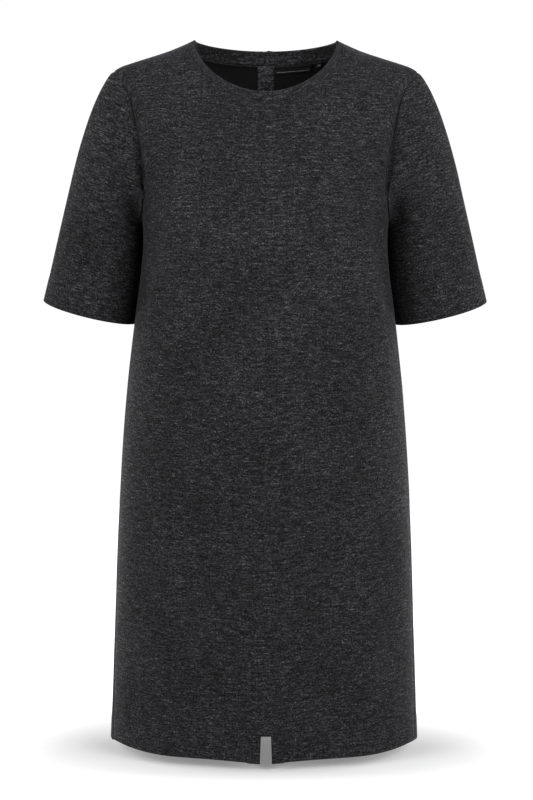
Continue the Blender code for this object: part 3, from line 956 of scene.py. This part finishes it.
def sleeve_cloth(side, front, back, sink):
    """A sleeve on the armhole that the left half of the front and back panels make."""
    rows = slice(0, UNDERARM_ROW + 1)
    grid, place = sleeve_grid(front.grid[rows, -1], back.grid[rows, 0])
    cloth = Cloth(*sided(side, grid, place), CLOTH)
    top, bottom, first, last = cloth.from_edges()
    cloth.relief += seam_relief(top, sink, SEAM_TURNING)
    cloth.relief += seam_relief(first, sink, SEAM_TURNING) + seam_relief(last, sink, SEAM_TURNING)
    cloth.relief += hem_relief(bottom) + crease_relief(cloth, top, CREASE_SLEEVE)
    gathers = np.sin(cloth.place[..., 0] / GATHER_STEP) * bell(top - GATHER_SPREAD, GATHER_SPREAD)
    cloth.relief += GATHER_HEIGHT * gathers * (cloth.place[..., 1] > GATHER_ABOVE)
    cloth.room = np.minimum(top, np.minimum(first, last))
    cloth.add_folds(SLEEVE_FOLDS, SIGN[side])
    cloth.add_unevenness()
    return cloth


def band_cloth(panel, back):
    """The neckband on the top edge of a panel, from its own edge down to its seam."""
    seam = panel.grid[0, np.abs(panel.grid[0, :, 0]) <= NECK_CORNER + 0.01]
    edge = neck_edge(np.abs(seam[:, 0]), back)
    edge[:, 0] = np.copysign(edge[:, 0], seam[:, 0])
    outward = (edge + seam) / 2 * np.array([1.0, 1.0, 0.0])
    outward /= np.linalg.norm(outward, axis=1)[:, None]
    outward[:, 2] = BAND_ROLL_UP
    corner = (1 - neck_swing(seam[:, 0])) ** CORNER_PEAK_POWER
    roll = outward * (BAND_ROLL * (1 - corner))[:, None]
    grid = np.array([mix(edge, seam, t) + roll * 4 * t * (1 - t) for t in BAND_STEPS])
    grid[..., 2] += CORNER_PEAK * np.outer(1 - BAND_STEPS, corner)
    if back:
        lap = np.sin(math.pi * np.clip(seam[:, 0] / BAND_LAP, 0.0, 1.0)) ** 2
        grid[..., 2] += BAND_LAP_RISE * np.outer(1 - BAND_STEPS, lap)
    across = lengths_along(grid, 1)
    down = lengths_along(grid, 0)
    place = np.stack([across[-1] + 0 * down, down[-1] - down], axis=-1)
    cloth = Cloth(grid, place, BAND)
    ends = np.minimum(across, across[:, -1:] - across)
    cloth.room = np.minimum(ends, down[-1] - down)
    cloth.relief += seam_relief(cloth.room, BAND_SINK, BAND_TURNING)
    cloth.relief = flat_corner(cloth.relief, grid, seam)
    return cloth


# Inside the back neck and behind the notch


def between(values, rows, columns):
    """Values of a grid at rows and columns that need not be whole."""
    rows, columns = np.asarray(rows, float), np.asarray(columns, float)
    r = np.minimum(rows.astype(int), values.shape[0] - 2)
    c = np.minimum(columns.astype(int), values.shape[1] - 2)
    u, v = (rows - r)[:, None, None], (columns - c)[None, :, None]
    upper = values[r][:, c] * (1 - v) + values[r][:, c + 1] * v
    lower = values[r + 1][:, c] * (1 - v) + values[r + 1][:, c + 1] * v
    return upper * (1 - u) + lower * u


def behind(cloth, rows, columns, depth, wall):
    """A smaller sheet that lies this deep behind a part of another."""
    outside = cloth.grid + cloth.normal * cloth.relief[..., None]
    normal = between(cloth.normal, rows, columns)
    grid = between(outside, rows, columns) - normal * depth
    return Cloth(grid, between(cloth.place, rows, columns), wall)


def columns_at(cloth, distances):
    """The columns of a back panel at distances from the centre along its top edge."""
    x = np.abs(cloth.grid[0, :, 0])
    order = np.argsort(x)
    return np.sort(np.interp(distances, x[order], order.astype(float)))


def rows_down(cloth, distances):
    """The rows of a panel at distances down from its top edge."""
    way = lengths_along(cloth.grid, 0)[:, cloth.grid.shape[1] * 2 // 3]
    return np.interp(distances, way, np.arange(len(way)))


def lining_cloth(back):
    """The black lining of the back's upper part, under the neckband."""
    rows = np.arange(FIRST_LEVEL_ROW + LINING_LEVELS)
    distances = even_steps((TAPE_HALF - LINING_UNDER_STRIP, LINING_OUTER), COLUMN_STEP)
    piece = behind(back, rows, columns_at(back, distances), CLOTH + GAP, LINING)
    down, _, first, last = piece.from_edges()
    wave = np.sin(piece.place[..., 0] / LINING_WAVE[0] + LINING_WAVE_START)
    wave = wave * np.sin(down / LINING_WAVE[1])
    ends = np.clip(np.minimum(first, last) / LINING_HELD[1], 0.0, 1.0)
    inner = np.clip(down / LINING_HELD[0], 0.0, 1.0) * ends
    piece.relief -= (0.5 + wave * LINING_SLACK) * inner * LINING_SLACK
    return piece


def strip_cloth(left, right):
    """The strip of cloth over the seam at the centre back."""
    rows = np.arange(FIRST_LEVEL_ROW + STRIP_LEVELS)
    depth = CLOTH + GAP + STRIP_DEPTH
    count = len(CENTRE_COLUMNS)
    inner = (left.grid - left.normal * depth)[rows, -count:]
    outer = (right.grid - right.normal * depth)[rows, 1:count]
    place = np.hstack([left.place[rows, -count:], right.place[rows, 1:count]])
    piece = Cloth(np.hstack([inner, outer]), place, TAPE)
    _, _, first, last = piece.from_edges()
    edge = np.minimum(first, last)
    piece.relief -= STRIP_STITCH * bell(edge - STRIP_STITCH_IN, STRIP_STITCH_SPREAD)
    return piece


def label_cloth(back, start, end, height, lift):
    """A small label that hangs from the neckband's seam inside the back."""
    columns = columns_at(back, even_steps((start, end), LABEL_CELL[0]))
    rows = rows_down(back, even_steps((LABEL_TOP, height), LABEL_CELL[1]))
    piece = behind(back, rows, columns, CLOTH + GAP + LABEL_DEPTH, LABEL)
    down = lengths_along(piece.grid, 0)
    hang = (down / down[-1]) ** 2
    piece.relief -= lift * hang * (1 + LABEL_CURL * np.sin(piece.place[..., 0] / LABEL_WAVE))
    return piece


def woven_line(label, height, width):
    """A plain raised line on a label, over these shares of its height and width."""
    rows = np.linspace(*height, LINE_CELLS[0]) * (label.grid.shape[0] - 1)
    columns = np.linspace(*width, LINE_CELLS[1]) * (label.grid.shape[1] - 1)
    return behind(label, rows, columns, LABEL + LINE_RISE, THREAD)


def facing_cloth(side, front):
    """The cloth turned in behind the front on one side of the notch."""
    total = front.grid.shape[0]
    rows = np.arange(total - len(FOOT_STEPS) - FACING_LEVELS, total)
    off = (front.grid[-1, :, 0] - NOTCH_CENTRE) * SIGN[side] - NOTCH_HALF_HEM
    inside = np.where((off >= -0.01) & (off <= FACING + 0.01))[0]
    piece = behind(front, rows, inside, CLOTH + FACING_DEPTH, TAPE)
    piece.grid[-1, :, 2] -= FACING_SHOWS
    return piece


# Materials


def fill(tree, node, values):
    """Gives a node's named or numbered inputs their values or links."""
    for key, value in values.items():
        if isinstance(value, bpy.types.NodeSocket):
            tree.links.new(value, node.inputs[key])
        else:
            node.inputs[key].default_value = value


def add(tree, kind, values=None, **settings):
    """A node with its settings, and values or links for its named or numbered inputs."""
    node = tree.nodes.new(kind)
    for name, value in settings.items():
        setattr(node, name, value)
    fill(tree, node, values or {})
    return node


def maths(tree, operation, *values, **settings):
    node = add(tree, "ShaderNodeMath", dict(enumerate(values)), operation=operation, **settings)
    return node.outputs[0]


def new_group(name, inputs, outputs):
    """An empty node group with named sockets, what its input node gives, and its output node."""
    group = bpy.data.node_groups.new(name, "ShaderNodeTree")
    kinds = {"value": "NodeSocketFloat", "vector": "NodeSocketVector", "colour": "NodeSocketColor"}
    for label, kind in inputs:
        group.interface.new_socket(label, in_out="INPUT", socket_type=kinds[kind])
    for label, kind in outputs:
        group.interface.new_socket(label, in_out="OUTPUT", socket_type=kinds[kind])
    return group, group.nodes.new("NodeGroupInput").outputs, group.nodes.new("NodeGroupOutput")


def vector(tree, operation, one, two):
    return add(tree, "ShaderNodeVectorMath", {0: one, 1: two}, operation=operation).outputs[0]


def scaled_by(tree, value, scale):
    """A colour or vector, times a number."""
    return add(tree, "ShaderNodeVectorMath", {0: value, "Scale": scale}, operation="SCALE").outputs[0]


def build_flecks(name):
    """Heather yarn: short dashes of light and dark fibre along the knitted courses."""
    values = ("Dash Length", "Dash Height", "Contrast", "Shift")
    inputs = [("Place", "vector"), ("Colour", "colour"), *((label, "value") for label in values)]
    outputs = [("Color", "colour"), ("Roughness", "value"), ("Height", "value")]
    group, given, made = new_group(name, inputs, outputs)
    size = add(group, "ShaderNodeCombineXYZ", {0: given["Dash Length"], 1: given["Dash Height"], 2: 1.0})
    dashes = vector(group, "DIVIDE", given["Place"], size.outputs[0])
    shift = add(group, "ShaderNodeCombineXYZ", {2: given["Shift"]})
    moved = vector(group, "ADD", dashes, shift.outputs[0])
    tone = 0.0
    heights = []
    for stretch, twist, weight in FLECKS:
        scaled = vector(group, "MULTIPLY", moved, stretch)
        values = {"Vector": scaled, "Scale": 1.0, "Detail": FLECK_DETAIL, "Distortion": twist}
        heights.append(add(group, "ShaderNodeTexNoise", values).outputs["Fac"])
        centred = maths(group, "SUBTRACT", heights[-1], 0.5)
        tone = maths(group, "MULTIPLY_ADD", centred, weight, tone)
    spark = maths(group, "MULTIPLY", heights[0], heights[2])
    spark = maths(group, "MULTIPLY", maths(group, "SUBTRACT", spark, SPARK_FROM), SPARK, use_clamp=True)
    tone = maths(group, "ADD", tone, spark)
    strength = maths(group, "EXPONENT", maths(group, "MULTIPLY", tone, given["Contrast"]))
    values = {
        "Color": scaled_by(group, given["Colour"], strength),
        "Roughness": maths(group, "MULTIPLY_ADD", tone, *FLECK_ROUGHNESS),
        "Height": maths(group, "ADD", heights[0], heights[2]),
    }
    fill(group, made, values)
    return group


def build_weave(name):
    """A fine plain weave: warp and weft threads that pass over each other, with painted shade where they
    dip.
    """
    inputs = [("Place", "vector"), ("Thread", "value"), ("Colour", "colour"), ("Depth", "value")]
    group, given, made = new_group(name, inputs, [("Color", "colour"), ("Height", "value")])
    scaled = scaled_by(group, given["Place"], maths(group, "DIVIDE", math.pi, given["Thread"]))
    split = add(group, "ShaderNodeSeparateXYZ", {0: scaled})
    warp = maths(group, "ABSOLUTE", maths(group, "SINE", split.outputs[0]))
    weft = maths(group, "ABSOLUTE", maths(group, "SINE", split.outputs[1]))
    over = maths(group, "MULTIPLY", warp, weft)
    # Painted shade: the colour darkens where the threads dip under each other.
    least = maths(group, "SUBTRACT", 1.0, given["Depth"])
    shade = maths(group, "MULTIPLY_ADD", over, given["Depth"], least)
    fill(group, made, {"Color": scaled_by(group, given["Colour"], shade), "Height": over})
    return group


PATTERNS = {"heather_flecks": build_flecks, "plain_weave": build_weave}


def cloth_material(name, pattern, values, bump, finish):
    """A cloth's material: a shared pattern on the cloth's own places, and the cloth's finish."""
    made = bpy.data.materials.new(name)
    made.use_nodes = True
    tree = made.node_tree
    shared = bpy.data.node_groups.get(pattern) or PATTERNS[pattern](pattern)
    place = add(tree, "ShaderNodeUVMap", uv_map=GRAIN_MAP).outputs[0]
    given = add(tree, "ShaderNodeGroup", {"Place": place, **values}, node_tree=shared).outputs
    strength, distance = bump
    bumps = {"Strength": strength, "Distance": distance, "Height": given["Height"]}
    finish["Base Color"] = given["Color"]
    finish["Normal"] = add(tree, "ShaderNodeBump", bumps).outputs[0]
    if "Roughness" in given:
        finish["Roughness"] = given["Roughness"]
    fill(tree, tree.nodes["Principled BSDF"], finish)
    return made


def heather(name, cloth, shift, ground=None):
    """Charcoal heather knit with a soft, slightly felted face."""
    values = {
        "Dash Length": cloth.dash_length,
        "Dash Height": cloth.dash_height,
        "Contrast": cloth.contrast,
        "Colour": [*(ground or cloth.ground), 1.0],
        "Shift": shift,
    }
    finish = {
        "Specular IOR Level": 0.25,
        "Sheen Weight": cloth.sheen,
        "Sheen Roughness": 0.35,
        "Sheen Tint": (0.62, 0.63, 0.68, 1.0),
    }
    return cloth_material(name, "heather_flecks", values, HEATHER_BUMP, finish)


def woven(name, colour, thread, depth, roughness, sheen):
    """A fine woven cloth, for the lining, the label and its line; depth is how much painted shade
    darkens the threads where they dip.
    """
    values = {"Thread": thread, "Colour": [*colour, 1.0], "Depth": depth}
    finish = {
        "Roughness": roughness,
        "Specular IOR Level": 0.4,
        "Sheen Weight": sheen,
        "Sheen Roughness": 0.35,
    }
    return cloth_material(name, "plain_weave", values, WEAVE_BUMP, finish)


# The add-on


def tint(name, description, default):
    """A colour among the settings."""
    given = {"name": name, "description": description, "default": default}
    return FloatVectorProperty(subtype="COLOR", min=0.0, max=1.0, **given)


def amount(name, description, default, lowest, highest, **kind):
    """A number among the settings, with its unit or subtype if one fits."""
    given = {"name": name, "description": description, "default": default}
    return FloatProperty(min=lowest, max=highest, **given, **kind)


class DressColours(bpy.types.PropertyGroup):
    """Colours and flecks of the dress's cloths."""

    ground: tint("Ground", "The colour that most of the heather cloth has", (0.017, 0.017, 0.0186))
    # Painted light: the strip's ground is lighter than the dress's, to stand in for the light that falls
    # into the back neck.
    strip: tint(
        "Strip", "The ground colour of the strip inside the back neck", (0.048, 0.048, 0.0515)
    )
    contrast: amount(
        "Contrast", "How strongly the dashes stand out from the ground", 2.65, 0.0, 8.0
    )
    dash_length: amount(
        "Dash length", "About how long a dash of fibre is, along the knitted courses",
        0.0036, 0.001, 0.03, unit="LENGTH",
    )
    dash_height: amount(
        "Dash height", "About how tall a dash of fibre is", 0.0017, 0.0003, 0.01, unit="LENGTH"
    )
    sheen: amount("Sheen", "How much the cloth's nap lights up where it turns away", 0.2, 0.0, 1.0)
    lining: tint("Lining", "The lining's colour", (0.0083, 0.0083, 0.0094))
    label: tint("Label", "The colour of the label and the size tab", (0.0058, 0.0058, 0.0064))
    label_thread: tint(
        "Label thread", "The plain lines woven across the label and the size tab",
        (0.34, 0.34, 0.36),
    )


class DressSewing(bpy.types.PropertyGroup):
    """How the dress is sewn."""

    seam_sink: amount(
        "Seam sink", "How deep the cloth sinks at a seam", 0.0009, 0.0, 0.003, unit="LENGTH"
    )
    label_lift: amount(
        "Label lift", "How far the label's lower edge stands off the lining",
        0.0012, 0.0, 0.01, unit="LENGTH",
    )


class DressStage(bpy.types.PropertyGroup):
    """The plain studio that shows the dress."""

    floor: tint("Floor", "The floor's colour", (0.75, 0.75, 0.75))
    # The floor glows though it is no lamp: painted light, least under the dress, where it paints the
    # shadow, and brighter away from it.
    painted_glow_in_shadow: amount(
        "Floor glow", "How much the pale floor shines by itself under the dress", 0.22, 0.0, 2.0
    )
    painted_glow_rise_away: amount(
        "Floor spread", "How much more the floor shines away from the dress, as a lit table does",
        0.77, 0.0, 2.0,
    )
    backdrop: amount("Backdrop", "How bright the white backdrop looks", 1.03, 0.0, 5.0)
    surround: amount(
        "Surrounding light", "The strength of the even light from all round", 0.03, 0.0, 5.0
    )
    edge_light: amount(
        "Edge light", "The strength of the light from behind both shoulders", 3.3, 0.0, 20.0
    )
    left_side: amount(
        "Left side softbox", "The power of the soft light at the left of the picture",
        35.5, 0.0, 500.0, subtype="POWER",
    )
    right_side: amount(
        "Right side softbox", "The power of the soft light at the right of the picture",
        30.0, 0.0, 500.0, subtype="POWER",
    )
    left_front: amount(
        "Left front softbox", "The power of the soft light in front, to the left",
        11.0, 0.0, 500.0, subtype="POWER",
    )
    right_front: amount(
        "Right front softbox", "The power of the soft light in front, to the right",
        29.0, 0.0, 500.0, subtype="POWER",
    )
    low_rims: amount(
        "Low rim softboxes", "The power of each of the two low lights behind the skirt",
        2.3, 0.0, 100.0, subtype="POWER",
    )
    camera_distance: amount(
        "Camera distance", "From the camera to the middle of the shoulders, along the ground",
        2.9, 0.5, 10.0, unit="LENGTH",
    )
    camera_drop: amount(
        "Camera drop", "How far the camera is below the shoulders",
        0.231, -2.0, 2.0, unit="LENGTH",
    )
    camera_tilt: amount(
        "Camera tilt", "How far the camera looks down",
        math.radians(4.25), -1.0, 1.0, subtype="ANGLE",
    )
    camera_roll: amount(
        "Camera roll", "How far the camera leans to the right",
        math.radians(-0.15), -1.0, 1.0, subtype="ANGLE",
    )


# The eight outer sheets, once the first operator has made and sewn them
SEWN = {}


def laid_on(name, cloth, material):
    """Puts a sheet into the scene, on the body."""
    piece = bpy.data.objects.new(name, cloth.mesh(name))
    piece.data.materials.append(material)
    bpy.context.scene.collection.objects.link(piece)
    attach(piece, "root")
    return piece


def dress_object(node, cloth, material):
    """Puts a sheet into the scene in place of its solid."""
    piece = laid_on(f"{node}_cloth", cloth, material)
    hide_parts(node)


def dress_sewn(context, slot, *nodes):
    """Puts sewn sheets into the scene, in heather cloth."""
    for node in nodes:
        material = heather(f"{node}_heather", context.scene.dress_colours, FLECK_START[node])
        dress_object(node, SEWN[node], material)
    return {"FINISHED"}


class DRESS_OT_panels(bpy.types.Operator):
    """Make the front and the two back panels"""

    bl_idname = "jumper_dress.panels"
    bl_label = "Front and Back"

    def execute(self, context):
        sink = context.scene.dress_sewing.seam_sink * METRE
        front = SEWN["front"] = front_cloth(sink)
        for side in SIGN:
            SEWN[f"back_{side}"] = back_cloth(side, sink)
        for side in SIGN:
            SEWN[f"sleeve_{side}"] = sleeve_cloth(side, front, SEWN["back_left"], sink)
        SEWN["neckband_front"] = band_cloth(front, False)
        for side in SIGN:
            SEWN[f"neckband_back_{side}"] = band_cloth(SEWN[f"back_{side}"], True)
        sew(list(SEWN.values()))
        return dress_sewn(context, "heather_cloth", "front", "back_left", "back_right")


class DRESS_OT_sleeves(bpy.types.Operator):
    """Make the two sleeves"""

    bl_idname = "jumper_dress.sleeves"
    bl_label = "Sleeves"

    def execute(self, context):
        return dress_sewn(context, "heather_cloth", "sleeve_left", "sleeve_right")


class DRESS_OT_neckband(bpy.types.Operator):
    """Make the neckband's three pieces"""

    bl_idname = "jumper_dress.neckband"
    bl_label = "Neckband"

    def execute(self, context):
        nodes = [f"neckband_{part}" for part in ("front", "back_left", "back_right")]
        return dress_sewn(context, "neckband_cloth", *nodes)


class DRESS_OT_inside(bpy.types.Operator):
    """Make the lining and the strip inside the back neck, and the facings of the notch"""

    bl_idname = "jumper_dress.inside"
    bl_label = "Lining and Facings"

    def execute(self, context):
        colours = context.scene.dress_colours
        # depth here is how much painted shade darkens the weave where its threads dip
        finish = {"thread": 0.0006, "depth": 0.35, "roughness": 0.5, "sheen": 0.15}
        material = woven("black_lining_cloth", colours.lining, **finish)
        for side in SIGN:
            piece = lining_cloth(SEWN[f"back_{side}"])
            dress_object(f"back_lining_{side}", piece, material)
        piece = strip_cloth(SEWN["back_left"], SEWN["back_right"])
        # The strip's lighter ground is painted light, for the light that falls into the back neck.
        material = heather("seam_strip_heather", colours, FLECK_START["back_seam_strip"], colours.strip)
        dress_object("back_seam_strip", piece, material)
        material = heather("facing_heather", colours, FLECK_START["notch_facing"])
        for side in SIGN:
            piece = facing_cloth(side, SEWN["front"])
            dress_object(f"notch_facing_{side}", piece, material)
        return {"FINISHED"}


class DRESS_OT_labels(bpy.types.Operator):
    """Make the neck label and the size tab, bare but for a woven line on each"""

    bl_idname = "jumper_dress.labels"
    bl_label = "Labels"

    def execute(self, context):
        colours = context.scene.dress_colours
        lift = context.scene.dress_sewing.label_lift * METRE
        # depth here is how much painted shade darkens the weave where its threads dip
        finish = {"thread": 0.0005, "depth": 0.4, "roughness": 0.75, "sheen": 0.03}
        cloth = woven("label_weave", colours.label, **finish)
        finish = {"thread": 0.0004, "depth": 0.5, "roughness": 0.6, "sheen": 0.1}
        thread = woven("label_thread", colours.label_thread, **finish)
        for name, (start, end, height, *line) in LABELS.items():
            label = label_cloth(SEWN["back_left"], start, end, height, lift)
            dress_object(name, label, cloth)
            laid_on(f"{name}_line", woven_line(label, *line), thread)
        return {"FINISHED"}


def eased(tree, value, ends, low=0.0, high=1.0):
    """Goes smoothly from low to high as a value goes from one end to the other."""
    values = {"Value": value, "From Min": ends[0], "From Max": ends[1], "To Min": low, "To Max": high}
    return add(tree, "ShaderNodeMapRange", values, interpolation_type="SMOOTHSTEP").outputs[0]


def studio_world(stage):
    """A white backdrop, and light from behind both shoulders that picks out the edges."""
    world = bpy.data.worlds.new("studio")
    world.use_nodes = True
    tree = world.node_tree
    way = add(tree, "ShaderNodeTexCoord").outputs["Generated"]
    x, y, z = add(tree, "ShaderNodeSeparateXYZ", {0: way}).outputs
    glow = stage.edge_light
    for value, ends in ((maths(tree, "ABSOLUTE", x), GLOW_ASIDE), (y, GLOW_BEHIND), (z, GLOW_ABOVE)):
        glow = maths(tree, "MULTIPLY", eased(tree, value, ends), glow)
    light = maths(tree, "ADD", glow, stage.surround)
    seen = add(tree, "ShaderNodeLightPath").outputs["Is Camera Ray"]
    strength = add(tree, "ShaderNodeMix", {"Factor": seen, "A": light, "B": stage.backdrop}).outputs[0]
    values = {"Color": (1.0, 1.0, 1.0, 1.0), "Strength": strength}
    fill(tree, tree.nodes["Background"], values)
    return world


def floor_paint(stage):
    """A pale matt floor with painted light and shadow: it glows though it is no lamp, less near the
    dress, which paints the shadow under it.
    """
    made = bpy.data.materials.new("pale_floor")
    made.use_nodes = True
    tree = made.node_tree
    level = vector(tree, "MULTIPLY", add(tree, "ShaderNodeNewGeometry").outputs["Position"], PAINTED_SHADOW_OVAL)
    way = add(tree, "ShaderNodeVectorMath", {0: level}, operation="LENGTH").outputs["Value"]
    low = stage.painted_glow_in_shadow
    values = {
        # Painted shadow: the glow is dimmest near the dress and rises away from it.
        "Emission Color": eased(tree, way, PAINTED_SHADOW_FADE, low, low + stage.painted_glow_rise_away),
        "Emission Strength": 1.0,
        "Base Color": (*stage.floor, 1.0),
        "Roughness": 0.9,
        "Specular IOR Level": 0.1,
    }
    fill(tree, tree.nodes["Principled BSDF"], values)
    return made


def pale_floor(stage):
    """The floor under the dress. It lights nothing and shows in no reflection."""
    height = float(CAD_BOX[0][2]) - FLOOR_BELOW
    mesh = bpy.data.meshes.new("floor")
    corners = [(-1, -1), (1, -1), (1, 1), (-1, 1)]
    points = [(x * FLOOR_REACH, y * FLOOR_REACH, height) for x, y in corners]
    mesh.from_pydata(points, [], [(0, 1, 2, 3)])
    mesh.materials.append(floor_paint(stage))
    floor = bpy.data.objects.new("floor", mesh)
    floor.visible_diffuse = False
    floor.visible_glossy = False
    return floor


def softbox(name, place, height, size, power):
    """A soft light that faces the dress at a height, and that the camera doesn't see."""
    lamp = bpy.data.lights.new(name, "AREA")
    lamp.shape = "RECTANGLE"
    lamp.size, lamp.size_y = size
    lamp.energy = power
    box = bpy.data.objects.new(name, lamp)
    box.location = place
    box.rotation_euler = (Vector((0.0, 0.0, height)) - box.location).to_track_quat("-Z", "Y").to_euler()
    box.visible_camera = False
    return box


def still_camera(stage):
    """The camera before the dress."""
    lens = bpy.data.cameras.new("camera")
    lens.sensor_fit = "AUTO"
    lens.sensor_width = CAMERA_SENSOR
    lens.lens = CAMERA_LENS
    lens.clip_end = CAMERA_REACH
    camera = bpy.data.objects.new("camera", lens)
    camera.location = (CAMERA_ASIDE, -stage.camera_distance, -stage.camera_drop)
    camera.rotation_euler = (math.radians(90) - stage.camera_tilt, stage.camera_roll, 0.0)
    return camera


class DRESS_OT_stage(bpy.types.Operator):
    """Make the floor, the lights and the camera"""

    bl_idname = "jumper_dress.stage"
    bl_label = "Stage"

    def execute(self, context):
        scene = context.scene
        stage = scene.dress_stage
        floor = pale_floor(stage)
        scene.collection.objects.link(floor)
        scene.world = studio_world(stage)
        # Here left and right are the picture's
        for kind, ((x, y, z), height, size) in SOFTBOXES.items():
            for side, sign in (("left", -1), ("right", 1)):
                power = stage.low_rims if kind == "low" else getattr(stage, f"{side}_{kind}")
                box = softbox(f"{side}_{kind}_softbox", (sign * x, y, z), height, size, power)
                scene.collection.objects.link(box)
        scene.camera = still_camera(stage)
        scene.collection.objects.link(scene.camera)
        scene.view_settings.view_transform = "Standard"
        return {"FINISHED"}


class DRESS_PT_sidebar(bpy.types.Panel):
    """The dress's settings and the steps that make it"""

    bl_label = "Jumper Dress"
    bl_idname = "DRESS_PT_sidebar"
    bl_space_type = "VIEW_3D"
    bl_region_type = "UI"
    bl_category = "Dress"

    def draw(self, context):
        scene = context.scene
        for group in (scene.dress_colours, scene.dress_sewing, scene.dress_stage):
            box = self.layout.box()
            for name in group.__annotations__:
                box.prop(group, name)
        for step in STEPS:
            self.layout.operator(step.bl_idname)


STEPS = (
    DRESS_OT_panels,
    DRESS_OT_sleeves,
    DRESS_OT_neckband,
    DRESS_OT_inside,
    DRESS_OT_labels,
    DRESS_OT_stage,
)
CLASSES = (DressColours, DressSewing, DressStage, *STEPS, DRESS_PT_sidebar)


def register():
    for cls in CLASSES:
        bpy.utils.register_class(cls)
    bpy.types.Scene.dress_colours = PointerProperty(type=DressColours)
    bpy.types.Scene.dress_sewing = PointerProperty(type=DressSewing)
    bpy.types.Scene.dress_stage = PointerProperty(type=DressStage)


def unregister():
    del bpy.types.Scene.dress_stage
    del bpy.types.Scene.dress_sewing
    del bpy.types.Scene.dress_colours
    for cls in reversed(CLASSES):
        bpy.utils.unregister_class(cls)


def main():
    register()
    bpy.ops.jumper_dress.panels()
    bpy.ops.jumper_dress.sleeves()
    bpy.ops.jumper_dress.neckband()
    bpy.ops.jumper_dress.inside()
    bpy.ops.jumper_dress.labels()
    bpy.ops.jumper_dress.stage()


if __name__ == "__main__":
    main()
